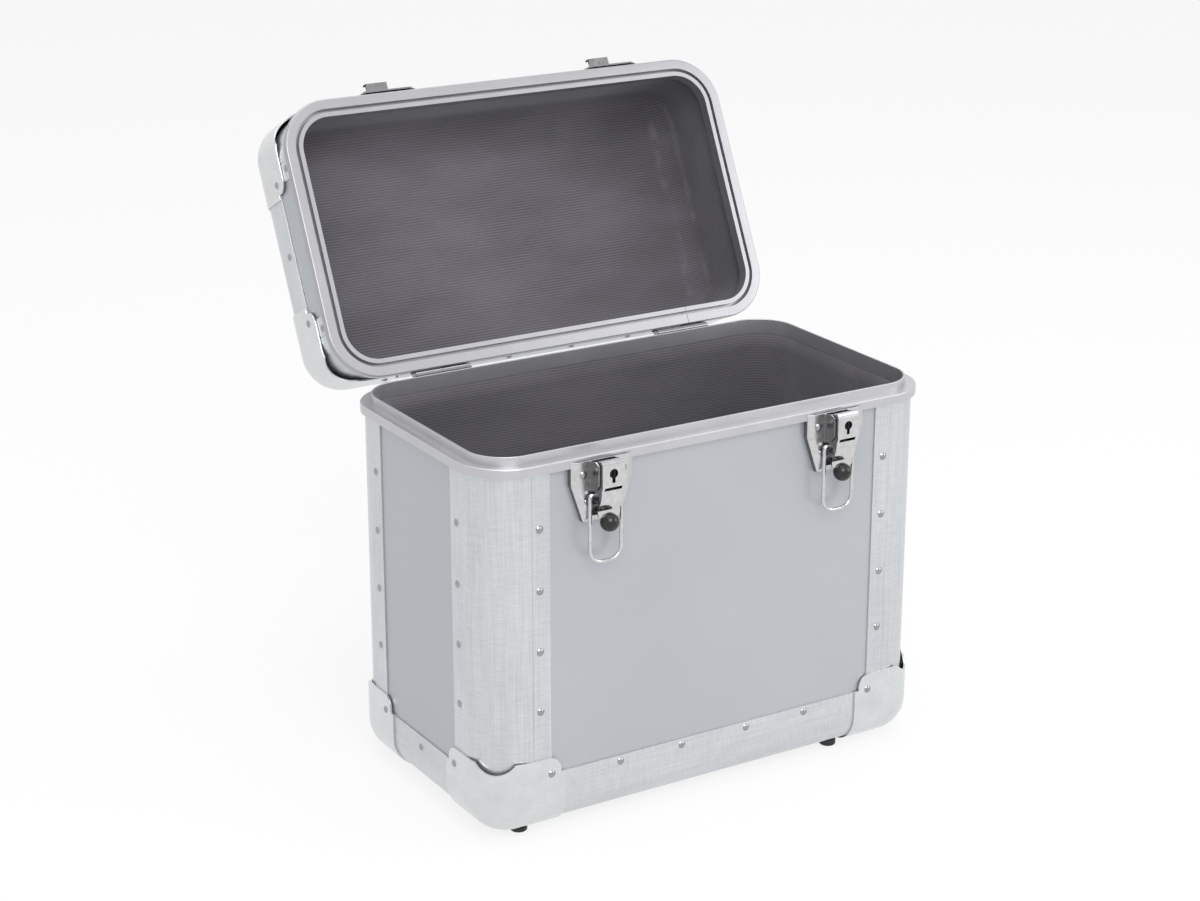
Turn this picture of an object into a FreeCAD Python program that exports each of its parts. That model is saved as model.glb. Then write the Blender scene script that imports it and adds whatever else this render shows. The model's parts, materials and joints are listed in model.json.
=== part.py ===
import FreeCAD, Part

import math
import os
import re

import Sketcher
from FreeCAD import Placement, Rotation, Vector

# Record carrying case: a box and a hinged lid made of sheet panels held in riveted
# corner and edge extrusions, with pressed corner caps, two draw latches and a handle.
# Millimetres, +Z up, front towards -Y. The origin is on the floor, under the middle of the
# whole case as it stands with its lid open.
# Every lid piece is built closed over the box and then turned open about the hinge pins.

SIZES = {
    # box over the outer faces of the corner and edge extrusions
    "case_width": 360.0,
    "case_depth": 197.0,
    "seam_height": 265.5,
    "lid_height": 77.5,
    "seam_gap": 0.3,
    "open_angle": 116.0,
    # walls
    "skin": 1.0,
    "panel_thickness": 3.6,
    "inner_skin": 0.8,
    "lining_thickness": 0.6,
    "panel_fit": 0.05,
    # extrusions along the corners and the edges
    "corner_radius": 33.5,
    "corner_flange": 48.0,
    "edge_radius": 24.0,
    "edge_flange": 42.6,
    "web": 1.0,
    "slot_lap": 8.0,
    "joint_gap": 0.1,
    "line_inset": 34.6,
    "line_width": 0.9,
    "line_depth": 0.4,
    # box rim
    "rim_overhang": 3.15,
    "rim_skirt": 6.5,
    "rim_plate": 2.0,
    "rim_entry": 1.6,
    "tongue_height": 5.8,
    "tongue_thickness": 1.4,
    "rim_round": 1.0,
    "tongue_round": 0.4,
    # lid rim
    "lid_lip": 6.2,
    "lid_rim_height": 9.0,
    "bead_reach": 9.8,
    "groove_outer_gap": 0.6,
    "groove_inner_gap": 0.5,
    "groove_end_gap": 0.3,
    "panel_entry": 1.8,
    # corner caps
    "cap_wall": 1.3,
    "cap_top": 55.0,
    "cap_side": 58.5,
    "cap_step": 43.2,
    "cap_corner_radius": 27.0,
    "ear_edge": 55.0,
    "ear_radius": 10.0,
    "scallop_radius": 17.5,
    "scallop_depth": 7.0,
    # rivets
    "rivet_head": 5.6,
    "rivet_dome": 1.3,
    "rivet_shank": 3.0,
    "rivet_fit": 0.05,
    "column_inset": 40.0,
    "column_first": 90.0,
    "column_pitch": 43.4,
    "lid_column_drop": 15.0,
    "ear_inset": 47.4,
    "ear_rivet_height": 43.0,
    "edge_rivet_height": 38.0,
    "side_rivet_height": 34.0,
    "edge_rivet_inner": 27.0,
    "edge_rivet_outer": 77.0,
    # feet
    "foot_height": 5.0,
    "foot_radius": 6.0,
    "foot_round": 1.2,
    "foot_stem_radius": 2.5,
    "foot_right_inset": 65.0,
    "foot_left_inset": 34.0,
    "foot_spacing": 154.0,
    # draw latches
    "latch_inset": 85.5,
    "sheet": 1.2,
    "base_half_width": 23.5,
    "pressing_face": 2.2,
    "base_bevel": 4.5,
    "base_top": 2.5,
    "base_shoulder": 18.5,
    "base_bottom": 45.4,
    "base_tip_half_width": 14.3,
    "big_rivet_side": 15.2,
    "big_rivet_drop": 11.6,
    "small_rivet_side": 13.2,
    "small_rivet_drop": 30.5,
    "small_rivet_head": 3.2,
    "small_rivet_dome": 0.8,
    "small_rivet_shank": 1.8,
    "ear_gap": 0.4,
    "ear_top": 3.4,
    "ear_bottom": 24.0,
    "ear_out": 13.0,
    "ear_front_drop": 17.0,
    "ear_nose": 8.6,
    "ear_nose_drop": 21.5,
    "lever_pin_out": 11.0,
    "lever_pin_drop": 5.5,
    "lever_pin_radius": 1.4,
    "running_fit": 0.1,
    "lever_half_width": 8.5,
    "lever_face": 15.5,
    "lever_top": 0.5,
    "lever_brow": 8.1,
    "cover_rise": 0.6,
    "cover_drop": 2.9,
    "head_bottom": 18.5,
    "step_out": 14.4,
    "step_drop": 20.9,
    "window_half_width": 6.6,
    "finger_curve": 28.0,
    "finger_low_out": 9.4,
    "finger_low_drop": 36.0,
    "finger_end_out": 10.6,
    "finger_end_drop": 45.0,
    "finger_foot_drop": 40.6,
    "finger_foot_round": 2.4,
    "tongue_half_width": 3.0,
    "cheek_in": 6.8,
    "cheek_heel": 2.8,
    "cheek_heel_half": 1.6,
    "cheek_low_drop": 31.0,
    "cheek_low_out": 9.4,
    "bridge_out": 10.0,
    "ball_radius": 6.5,
    "ball_out": 10.2,
    "ball_drop": 44.4,
    "bail_pin_out": 5.2,
    "bail_pin_drop": 25.5,
    "bail_wire_radius": 1.35,
    "bail_half_width": 12.1,
    "bail_length": 47.8,
    "bail_bend": 2.6,
    "bail_curve": 9.6,
    "bail_foot_inset": 1.9,
    "key_radius": 3.2,
    "key_drop": 9.2,
    "key_slot_width": 2.4,
    "key_slot_drop": 6.3,
    "lock_radius": 4.2,
    "lock_thickness": 1.2,
    "lock_gap": 0.3,
    "lock_reach": 6.4,
    "lock_tab_width": 3.2,
    "lock_spindle_radius": 1.2,
    "lock_collar_radius": 1.9,
    "lock_collar_width": 0.8,
    "keyway_width": 1.0,
    "keyway_length": 5.0,
    "keyway_depth": 0.8,
    # catches on the lid
    "catch_half_width": 22.5,
    "catch_bevel": 4.0,
    "catch_low": 1.0,
    "catch_high": 27.0,
    "catch_rivet_side": 13.5,
    "catch_rivet_rise": 15.0,
    "hook_half_width": 8.5,
    "hook_shelf": 16.6,
    "hook_seat": 18.1,
    "hook_out": 11.5,
    "hook_top": 21.8,
    # hinges
    "hinge_inset": 78.0,
    "hinge_half_width": 22.0,
    "hinge_pin_rise": 2.5,
    "knuckle_radius": 2.9,
    "knuckle_gap": 0.3,
    "hinge_pin_radius": 1.5,
    "hinge_pin_head": 2.3,
    "hinge_head_width": 0.9,
    "hinge_clear": 0.3,
    "leaf_reach": 24.0,
    "leaf_run": 4.0,
    "leaf_start": 0.7,
    "stop_length": 7.5,
    "hinge_rivet_side": 13.0,
    "hinge_rivet_reach": 18.0,
    # carrying handle on the lid
    "handle_leg": 48.0,
    "handle_end": 79.0,
    "handle_reach": 38.0,
    "handle_bend": 12.0,
    "handle_rod_radius": 3.0,
    "grip_radius": 8.0,
    "grip_half_length": 34.0,
    "grip_round": 2.5,
    "handle_axis_rise": 9.0,
    "bracket_middle": 70.0,
    "bracket_half_width": 13.0,
    "bracket_half_length": 21.0,
    "bracket_corner": 5.0,
    "bracket_plate": 1.6,
    "bracket_ear": 2.0,
    "bracket_ear_side": 5.5,
    "bracket_ear_radius": 6.5,
    "bracket_rivet_side": 8.0,
    "bracket_rivet_length": 15.0,
    "handle_rest_angle": 26.0,
    # overrun for cuts
    "overrun": 2.0,
}

# Places worked out from the driving sizes, as sheet formulas
BOTTOM = "foot_height"
SEAM = "(foot_height + seam_height)"
TOP = "(foot_height + seam_height + lid_height)"
SLOT = "(panel_thickness + 2 * panel_fit)"
FRAME_WALL = "(skin + panel_thickness + 2 * panel_fit + inner_skin)"
WALL = "(skin + panel_thickness + 2 * panel_fit + inner_skin + lining_thickness)"
RIM_FACE = "(case_depth / 2 + rim_overhang)"
PANEL_FACE = "(skin + panel_fit)"
PIN_BACK = "(case_depth / 2 + rim_overhang + knuckle_radius + hinge_clear)"
RIVET_HOLE = "(rivet_shank / 2 + rivet_fit)"
FOOT_INSET = "((case_depth - foot_spacing) / 2)"
RIVET_LENGTH = "(%s - joint_gap)" % FRAME_WALL
CAP_FACE = "(panel_fit + cap_wall)"
LATCH_SIDE = "(case_width / 2 - latch_inset)"
HINGE_SIDE = "(case_width / 2 - hinge_inset)"
FOOT_RIGHT = "(case_width / 2 - foot_right_inset)"
FOOT_LEFT = "(case_width / 2 - foot_left_inset)"
COLUMN_ROWS = 4
EDGE_SIDES = (-1, 1)

doc = FreeCAD.newDocument("record_case")
sheet = doc.addObject("Spreadsheet::Sheet", "Sizes")
for row, (alias, number) in enumerate(SIZES.items(), start=1):
    sheet.set("A%d" % row, alias)
    sheet.set("B%d" % row, str(number))
    sheet.setAlias("B%d" % row, alias)
doc.recompute()

nodes = []


def formula(text):
    """Write a formula in sheet aliases as an expression that a property can hold."""
    cell = lambda m: "Sizes." + m.group(0) if m.group(0) in SIZES else m.group(0)
    return re.sub(r"[a-z][a-z_]*[a-z]", cell, text)


def number(text):
    return float(sheet.evalExpression(formula(text)))


def bind(thing, **formulas):
    for name, text in formulas.items():
        thing.setExpression(name, formula(text))


def node(thing, label):
    """Give a finished sub-part the name that its file gets, and stand it over the origin."""
    thing.Label = label
    thing.Placement = stand().multiply(thing.Placement)
    nodes.append(thing)
    return thing


def shifted(x="0", y="0", z="0"):
    return Vector(number(x), number(y), number(z))


def stand():
    """Move from under the middle of the box to under the middle of the open case."""
    turn = "(open_angle * 1deg)"
    front = "(%s + lever_face)" % RIM_FACE
    # the open lid reaches furthest back at the round upper edge of its caps
    inwards = "(case_depth / 2 - edge_radius + %s)" % PIN_BACK
    upwards = "(lid_height - edge_radius - hinge_pin_rise)"
    rear = "(%s - cos(%s) * %s + sin(%s) * %s + edge_radius + panel_fit + cap_wall)" % (
        PIN_BACK, turn, inwards, turn, upwards,
    )
    return Placement(shifted("0 * sheet", "(%s - %s) / 2" % (front, rear)), Rotation())


# Sketches and features


def new_body(name):
    return doc.addObject("PartDesign::Body", name)


def new_sketch(body, role, lift="0"):
    sketch = body.newObject("Sketcher::SketchObject", body.Name + "_sketch")
    base = [item for item in body.Origin.OriginFeatures if item.Role == role][0]
    sketch.AttachmentSupport = (base, [""])
    sketch.MapMode = "FlatFace"
    if lift != "0":
        sketch.AttachmentOffset = Placement(Vector(0, 0, number(lift)), Rotation())
        sketch.setExpression("AttachmentOffset.Base.z", formula(lift))
    return sketch


def fix(sketch, kind, geometry, position, text):
    """Hold one coordinate of a sketch point at a formula."""
    index = sketch.addConstraint(Sketcher.Constraint(kind, -1, 1, geometry, position, number(text)))
    if re.search("[a-z]", text):
        sketch.setExpression("Constraints[%d]" % index, formula(text))


def arc_between(start, end, radius, turn):
    """Arc through two points: turn 1 runs counter-clockwise, -1 clockwise."""
    chord = end - start
    half = chord.Length / 2
    normal = Vector(-chord.y, chord.x, 0).normalize()
    depth = math.sqrt(max(radius * radius - half * half, 0))
    centre = (start + end) / 2 + normal * depth * turn
    first, last = (start, end) if turn > 0 else (end, start)
    a = math.atan2(first.y - centre.y, first.x - centre.x)
    b = math.atan2(last.y - centre.y, last.x - centre.x)
    return Part.ArcOfCircle(Part.Circle(centre, Vector(0, 0, 1), radius), a, b if b > a else b + 2 * math.pi)


def draw_path(sketch, points, closed=True):
    """Draw lines, and arcs where a point is followed by (radius, turn), through fixed points."""
    places = [Vector(number(p[0]), number(p[1]), 0) for p in points]
    count = len(points) if closed else len(points) - 1
    ends = []
    for i in range(count):
        start, end = places[i], places[(i + 1) % len(points)]
        if len(points[i]) == 2:
            geometry = sketch.addGeometry(Part.LineSegment(start, end), False)
            ends.append((geometry, 1, 2))
            continue
        radius, turn = points[i][2:]
        geometry = sketch.addGeometry(arc_between(start, end, number(radius), turn), False)
        ends.append((geometry, 1, 2) if turn > 0 else (geometry, 2, 1))
        index = sketch.addConstraint(Sketcher.Constraint("Radius", geometry, number(radius)))
        sketch.setExpression("Constraints[%d]" % index, formula(radius))
    for i in range(count if closed else count - 1):
        this, following = ends[i], ends[(i + 1) % count]
        sketch.addConstraint(Sketcher.Constraint("Coincident", this[0], this[2], following[0], following[1]))
    for i, point in enumerate(points):
        geometry, position = (ends[i][0], ends[i][1]) if i < count else (ends[-1][0], ends[-1][2])
        fix(sketch, "DistanceX", geometry, position, point[0])
        fix(sketch, "DistanceY", geometry, position, point[1])


def draw_circle(sketch, x, y, radius):
    circle = Part.Circle(Vector(number(x), number(y), 0), Vector(0, 0, 1), number(radius))
    geometry = sketch.addGeometry(circle, False)
    index = sketch.addConstraint(Sketcher.Constraint("Radius", geometry, number(radius)))
    sketch.setExpression("Constraints[%d]" % index, formula(radius))
    fix(sketch, "DistanceX", geometry, 3, x)
    fix(sketch, "DistanceY", geometry, 3, y)


def rounded_rectangle(half_x, half_y, radius):
    """Points of a rectangle about the origin with round corners."""
    ix, iy = "(%s - %s)" % (half_x, radius), "(%s - %s)" % (half_y, radius)
    return [
        ("-" + ix, "-(%s)" % half_y),
        (ix, "-(%s)" % half_y, radius, 1),
        (half_x, "-" + iy),
        (half_x, iy, radius, 1),
        (ix, half_y),
        ("-" + ix, half_y, radius, 1),
        ("-(%s)" % half_x, iy),
        ("-(%s)" % half_x, "-" + iy, radius, 1),
    ]


def ring_points(offset):
    """The box's outline in plan, moved outwards by a distance, or inwards by a negative one."""
    return rounded_rectangle(
        "(case_width / 2 + %s)" % offset, "(case_depth / 2 + %s)" % offset, "(corner_radius + %s)" % offset
    )


def pad(body, sketch, length, symmetric=False, back=False):
    feature = body.newObject("PartDesign::Pad", body.Name + "_pad")
    feature.Profile = sketch
    feature.Length = number(length)
    bind(feature, Length=length)
    feature.SideType = "Symmetric" if symmetric else "One side"
    feature.Reversed = back
    return feature


def pocket(body, sketch, length, symmetric=False, back=False):
    """Cut a sketch into the body and see that it took something away."""
    doc.recompute()
    before = body.Shape.Volume
    feature = body.newObject("PartDesign::Pocket", body.Name + "_pocket")
    feature.Profile = sketch
    feature.Length = number(length)
    bind(feature, Length=length)
    feature.SideType = "Symmetric" if symmetric else "One side"
    feature.Reversed = back
    doc.recompute()
    if not body.Shape.Volume < before:
        raise ValueError("nothing was cut from " + body.Name)
    return feature


def dress(body, kind, size, chosen):
    """Round (Fillet) or bevel (Chamfer) the edges that a test picks."""
    doc.recompute()
    base = body.Tip
    names = ["Edge%d" % (i + 1) for i, edge in enumerate(base.Shape.Edges) if chosen(edge)]
    feature = body.newObject("PartDesign::" + kind, body.Name + "_" + kind.lower())
    feature.Base = (base, names)
    if kind == "Fillet":
        feature.Radius = number(size)
        bind(feature, Radius=size)
    else:
        feature.Size = number(size)
        bind(feature, Size=size)
    return feature


def at_height(edge, text):
    """True for an edge that lies flat at a height."""
    box = edge.BoundBox
    return abs(box.ZMin - number(text)) < 1e-4 and abs(box.ZMax - number(text)) < 1e-4


def drill(body, role, holes, radius):
    """Drill round holes through the body, along the normal of one of its planes."""
    sketch = new_sketch(body, role)
    for x, y in holes:
        draw_circle(sketch, x, y, radius)
    return pocket(body, sketch, "4 * (case_width + case_depth)", symmetric=True)


def placed(name, master, placement):
    """A repeat of a master piece at a place of its own."""
    copy = doc.addObject("Part::Compound", name)
    copy.Links = [master]
    copy.Placement = placement
    return node(copy, name)


# Where the lid stands: closed it turns about the hinge pins to its open angle


def lid_open():
    centre = shifted("0", PIN_BACK, SEAM + " + hinge_pin_rise")
    return Placement(Vector(0, 0, 0), Rotation(Vector(1, 0, 0), -number("open_angle")), centre)


LID_OPEN = lid_open()
# The lid's box is the box below turned upside down: its top plane stands for the bottom plane
LID_FLIP = Placement(Vector(0, 0, number(TOP)), Rotation(Vector(1, 0, 0), 180))
BOX_SEAT = Placement(shifted("0", "0", BOTTOM), Rotation())
LID_SEAT = LID_OPEN.multiply(LID_FLIP)
# Extrusion sections lie in X and Y: along an edge, X turns to Y, Y to Z and Z to X
ALONG_EDGE = Rotation(Vector(1, 1, 1), 120)


def quarter(turns):
    return Placement(Vector(0, 0, 0), Rotation(Vector(0, 0, 1), 90 * turns))


# Rivets: all are one turned shape, a dome on a shank


def rivet_master(name, head, dome, shank, grip):
    body = new_body(name)
    sketch = new_sketch(body, "XZ_Plane")
    points = [
        ("0", "0 - (%s)" % grip),
        (shank, "0 - (%s)" % grip),
        (shank, "0"),
        (head, "0", "((%s)^2 + %s^2) / (2 * %s)" % (head, dome, dome), 1),
        ("0", dome),
    ]
    draw_path(sketch, points)
    turned = body.newObject("PartDesign::Revolution", name + "_turned")
    turned.Profile = sketch
    turned.ReferenceAxis = (sketch, ["V_Axis"])
    turned.Angle = 360
    doc.recompute()
    return body


# Face maps: a rivet's place (across, up) on a face, to a placement with its axis outwards

FACES = {"front": 0, "right": 1, "back": 2, "left": 3}


def face_half(face):
    """Half the depth from the middle to a face, and half the width along it."""
    if FACES[face] % 2 == 0:
        return "case_depth / 2", "case_width / 2"
    return "case_width / 2", "case_depth / 2"


def on_face(face, across, up, out):
    """Placement at a point of a box face, its Z axis pointing out of the face."""
    local = Placement(Vector(number(across), -number(out), number(up)), Rotation(Vector(1, 0, 0), 90))
    return quarter(FACES[face]).multiply(local)


def column_heights(lid):
    if lid:
        return ["(lid_height - seam_gap - lid_column_drop)"]
    return ["(column_first + %d * column_pitch)" % i for i in range(COLUMN_ROWS)]


def edge_row(face):
    """Rivets along the edge extrusion of a face: places across, and their height."""
    if FACES[face] % 2 == 0:
        places = ["-edge_rivet_outer", "-edge_rivet_inner", "edge_rivet_inner", "edge_rivet_outer"]
        return places, "edge_rivet_height"
    return ["0 * edge_rivet_inner"], "side_rivet_height"


def frame_rivets(face, lid):
    """Rivets of a face that hold the panel: columns, ears and edge row."""
    half = face_half(face)[1]
    places = []
    for side in EDGE_SIDES:
        places += [("%d * (%s - column_inset)" % (side, half), up) for up in column_heights(lid)]
        places.append(("%d * (%s - ear_inset)" % (side, half), "ear_rivet_height"))
    row, height = edge_row(face)
    return places + [(across, height) for across in row]


# Panels


def panel(label, face, lid, extra=()):
    """A side panel with its rivet holes, standing in the slots of the extrusions and the rim."""
    depth, half = face_half(face)
    body = new_body(label)
    sketch = new_sketch(body, "XZ_Plane")
    side = "(%s - corner_radius - web - panel_fit)" % half
    low = "(edge_radius + web + panel_fit)"
    if lid:
        high = "(lid_height - seam_gap - lid_rim_height + panel_entry - panel_fit)"
    else:
        high = "(seam_height - rim_plate - panel_fit)"
    draw_path(sketch, [("-" + side, low), (side, low), (side, high), ("-" + side, high)])
    pad(body, sketch, "panel_thickness")
    drill(body, "XZ_Plane", frame_rivets(face, lid), RIVET_HOLE)
    for places, radius in extra:
        drill(body, "XZ_Plane", places, radius)
    inner = "%s - %s" % (depth, PANEL_FACE)
    local = Placement(Vector(0, -number(inner) + number("panel_thickness"), 0), Rotation())
    body.Placement = (LID_SEAT if lid else BOX_SEAT).multiply(quarter(FACES[face])).multiply(local)
    return node(body, label)


def flat_panel(label, lid, holes=()):
    """The bottom of the box or the top of the lid."""
    body = new_body(label)
    sketch = new_sketch(body, "XY_Plane", PANEL_FACE)
    half_x = "(case_width / 2 - edge_radius - web - panel_fit)"
    half_y = "(case_depth / 2 - edge_radius - web - panel_fit)"
    corners = [("-" + half_x, "-" + half_y), (half_x, "-" + half_y), (half_x, half_y), ("-" + half_x, half_y)]
    draw_path(sketch, corners)
    pad(body, sketch, "panel_thickness")
    for places, radius in holes:
        drill(body, "XY_Plane", places, radius)
    body.Placement = LID_SEAT if lid else BOX_SEAT
    return node(body, label)


# Extrusions: a quarter bend between two flanges, with a slot on each side for a panel


def extrusion_section(sketch, radius, flange, lined=False):
    inner = "(skin + %s)" % SLOT
    back = FRAME_WALL
    floor = "(%s + web)" % radius
    lap = "(%s + web + slot_lap)" % radius
    outer = [
        (flange, "0"),
        (radius, "0", radius, -1),
        ("0", radius),
        ("0", flange),
        ("skin", flange),
        ("skin", floor),
        (inner, floor),
        (inner, lap),
        (back, lap),
        (back, radius, "(%s - %s)" % (radius, back), 1),
        (radius, back),
        (lap, back),
        (lap, inner),
        (floor, inner),
        (floor, "skin"),
        (flange, "skin"),
    ]
    chamber = [
        (radius, "skin", "(%s - skin)" % radius, -1),
        ("skin", radius),
        (inner, radius, "(%s - %s)" % (radius, inner), 1),
        (radius, inner),
    ]
    if lined:
        # a fine line drawn down each flange beside the bend
        sides = ("(line_inset + line_width / 2)", "line_inset", "(line_inset - line_width / 2)")
        depths = ("0", "line_depth", "0")
        outer[1:1] = list(zip(sides, depths))
        outer[6:6] = [(depth, side) for side, depth in zip(reversed(sides), depths)]
    draw_path(sketch, outer)
    draw_path(sketch, chamber)


def corner_extrusion(name, lid):
    """Upright extrusion, its outer corner on the Z axis, with rivet holes in both flanges."""
    body = new_body(name)
    low = "(edge_flange + joint_gap)"
    high = "(lid_height - seam_gap - lid_rim_height)" if lid else "(seam_height - rim_skirt + rim_entry)"
    sketch = new_sketch(body, "XY_Plane", low)
    extrusion_section(sketch, "corner_radius", "corner_flange", lined=True)
    pad(body, sketch, "%s - joint_gap - %s" % (high, low))
    heights = column_heights(lid) + ["ear_rivet_height"]
    insets = ["column_inset"] * (len(heights) - 1) + ["ear_inset"]
    holes = list(zip(insets, heights))
    drill(body, "XZ_Plane", holes, RIVET_HOLE)
    drill(body, "YZ_Plane", holes, RIVET_HOLE)
    doc.recompute()
    return body


def edge_extrusion(name, face, feet=()):
    """Level extrusion for one side, drawn upright about its own middle, with its rivet holes."""
    half = face_half(face)[1]
    body = new_body(name)
    sketch = new_sketch(body, "XY_Plane")
    extrusion_section(sketch, "edge_radius", "edge_flange")
    pad(body, sketch, "2 * (%s - corner_radius)" % half, symmetric=True)
    row, height = edge_row(face)
    across = row + ["%d * (%s - ear_inset)" % (side, half) for side in EDGE_SIDES]
    heights = [height] * len(row) + ["ear_rivet_height"] * len(EDGE_SIDES)
    # the flange that stands on the side panel runs along Y, so its holes go along X
    drill(body, "YZ_Plane", list(zip(heights, across)), RIVET_HOLE)
    # the level flanges meet at a mitre under the caps
    end = "(%s - corner_radius + overrun)" % half
    tip = "(edge_flange + overrun)"
    back = "(%s - edge_flange - overrun - joint_gap)" % half
    start = "(corner_radius - overrun - joint_gap)"
    for side in ("", "-"):
        mitre = new_sketch(body, "XZ_Plane")
        draw_path(mitre, [(start, side + end), (tip, side + back), (tip, side + end)])
        pocket(body, mitre, "2 * edge_flange", symmetric=True)
    if feet:
        stems = new_sketch(body, "XZ_Plane")
        for along in feet:
            draw_circle(stems, FOOT_INSET, along, "foot_stem_radius + panel_fit")
        pocket(body, stems, "2 * skin + " + SLOT, symmetric=True)
    doc.recompute()
    return body


def edge_place(face, seat):
    """Where the edge extrusion of a face goes: its corner line on the face's lower edge."""
    depth = face_half(face)[0]
    start = Placement(Vector(0, -number(depth), 0), ALONG_EDGE)
    return seat.multiply(quarter(FACES[face])).multiply(start)


CORNERS = {
    "front_left": (0, -1, -1),
    "front_right": (1, 1, -1),
    "back_right": (2, 1, 1),
    "back_left": (3, -1, 1),
}


def corner_place(corner, seat):
    turns, side_x, side_y = CORNERS[corner]
    corner_point = Vector(side_x * number("case_width / 2"), side_y * number("case_depth / 2"), 0)
    local = Placement(corner_point, Rotation(Vector(0, 0, 1), 90 * turns))
    return seat.multiply(local)


def flipped_corner(corner):
    """The lid is the box's arrangement turned about X, which swaps front and back."""
    side = {"front": "back", "back": "front"}[corner.split("_")[0]]
    return side + "_" + corner.split("_")[1]


# Corner caps: pressed shells over the three extrusions that meet at a corner


def cap_block(name, outwards, corner_radius):
    """A block whose walls lie a distance outside the case, its upright and level edges round."""
    block = doc.addObject("Part::Box", name)
    size = "3 * cap_side"
    bind(block, Length=size, Width=size, Height=size)
    block.Placement = Placement(Vector(-number(outwards), -number(outwards), -number(outwards)), Rotation())
    for axis in "xyz":
        block.setExpression("Placement.Base." + axis, formula("0 - (%s)" % outwards))
    doc.recompute()

    def rounded(base, suffix, radius, chosen):
        feature = doc.addObject("Part::Fillet", name + suffix)
        feature.Base = base
        amount = number(radius)
        feature.Edges = [(i + 1, amount, amount) for i, edge in enumerate(base.Shape.Edges) if chosen(edge)]
        doc.recompute()
        return feature

    low = -number(outwards)
    upright = rounded(
        block,
        "_upright",
        corner_radius,
        lambda e: abs(e.BoundBox.XMax - low) < 1e-4 and abs(e.BoundBox.YMax - low) < 1e-4,
    )
    reach = low + number(size) - 1e-3

    def bottom_front(edge):
        box = edge.BoundBox
        outer_side = box.XMin < reach - number("cap_side") and box.YMin < reach - number("cap_side")
        return abs(box.ZMax - low) < 1e-4 and outer_side

    return rounded(upright, "_level", "edge_radius + (%s)" % outwards, bottom_front)


def flap_prism(name, along):
    """What a cap covers, seen square on to one of its two upright flaps."""
    body = new_body(name)
    sketch = new_sketch(body, "XZ_Plane" if along == "y" else "YZ_Plane")
    below = "-(cap_wall + overrun)"
    points = [
        (below, below),
        ("cap_side", below),
        ("cap_side", "cap_step"),
        ("ear_edge", "cap_step"),
        ("ear_edge", "(cap_top - ear_radius)", "ear_radius", 1),
        ("(ear_edge - ear_radius)", "cap_top"),
        (below, "cap_top"),
    ]
    draw_path(sketch, points)
    pad(body, sketch, "4 * cap_side", symmetric=True)
    doc.recompute()
    return body


def cap_master():
    """One cap, its corner at the origin: shell, flap outline, scallop and ear holes."""
    outer = cap_block("cap_outer", "panel_fit + cap_wall", "cap_corner_radius + cap_wall")
    inner = cap_block("cap_inner", "panel_fit", "cap_corner_radius")
    shell = doc.addObject("Part::Cut", "cap_shell")
    shell.Base = outer
    shell.Tool = inner
    front = doc.addObject("Part::Common", "cap_front")
    front.Base = shell
    front.Tool = flap_prism("cap_front_flap", "y")
    both = doc.addObject("Part::Common", "cap_flaps")
    both.Base = front
    both.Tool = flap_prism("cap_side_flap", "x")
    scallop = doc.addObject("Part::Cylinder", "cap_scallop")
    bind(scallop, Radius="scallop_radius", Height="cap_side")
    lift = number("cap_top + scallop_radius - scallop_depth")
    scallop.Placement = Placement(Vector(0, 0, lift), Rotation(Vector(1, 1, 0), 0))
    scallop.Placement.Rotation = Rotation(Vector(0, 0, 1), Vector(1, 1, 0))
    scallop.Placement.Base = Vector(-number("cap_wall"), -number("cap_wall"), lift)
    notched = doc.addObject("Part::Cut", "cap_notched")
    notched.Base = both
    notched.Tool = scallop
    holes = []
    for turn, axis in (("y", Vector(0, 1, 0)), ("x", Vector(1, 0, 0))):
        hole = doc.addObject("Part::Cylinder", "cap_hole_" + turn)
        bind(hole, Radius=RIVET_HOLE, Height="2 * cap_wall + 2 * overrun")
        inset, height = number("ear_inset"), number("ear_rivet_height")
        start = -number("cap_wall + overrun")
        base = Vector(inset, start, height) if turn == "y" else Vector(start, inset, height)
        hole.Placement = Placement(base, Rotation(Vector(0, 0, 1), axis))
        holes.append(hole)
    tools = doc.addObject("Part::Compound", "cap_holes")
    tools.Links = holes
    cap = doc.addObject("Part::Cut", "cap_master")
    cap.Base = notched
    cap.Tool = tools
    doc.recompute()
    return cap


# Rims


def box_rim():
    """Rim of the box: an outer skirt, a seat over the panel edges and a tongue round the mouth."""
    body = new_body("body_rim")
    skirt_low = "(foot_height + seam_height - rim_skirt)"
    sketch = new_sketch(body, "XY_Plane", skirt_low)
    draw_path(sketch, ring_points("rim_overhang"))
    draw_path(sketch, ring_points("(0 - %s)" % WALL))
    pad(body, sketch, "rim_skirt")
    dress(body, "Fillet", "rim_round", lambda e: at_height(e, SEAM) and edge_reaches(e, "rim_overhang"))
    entry = new_sketch(body, "XY_Plane", skirt_low)
    draw_path(entry, ring_points("panel_fit"))
    pocket(body, entry, "rim_entry", back=True)
    slot = new_sketch(body, "XY_Plane", skirt_low)
    draw_path(slot, ring_points("(0 - skin)"))
    draw_path(slot, ring_points("(0 - skin - %s)" % SLOT))
    pocket(body, slot, "rim_skirt - rim_plate", back=True)
    tongue = new_sketch(body, "XY_Plane", SEAM)
    draw_path(tongue, ring_points("(tongue_thickness - %s)" % WALL))
    draw_path(tongue, ring_points("(0 - %s)" % WALL))
    pad(body, tongue, "tongue_height")
    dress(body, "Fillet", "tongue_round", lambda e: at_height(e, SEAM + " + tongue_height"))
    doc.recompute()
    return node(body, "body_rim")


def edge_reaches(edge, offset):
    """True for an edge of the ring that lies a distance outside the case's faces."""
    box = edge.BoundBox
    reach_x = number("case_width / 2 + %s" % offset)
    reach_y = number("case_depth / 2 + %s" % offset)
    far_x = max(abs(box.XMin), abs(box.XMax))
    far_y = max(abs(box.YMin), abs(box.YMax))
    return abs(far_x - reach_x) < 1e-3 or abs(far_y - reach_y) < 1e-3


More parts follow.
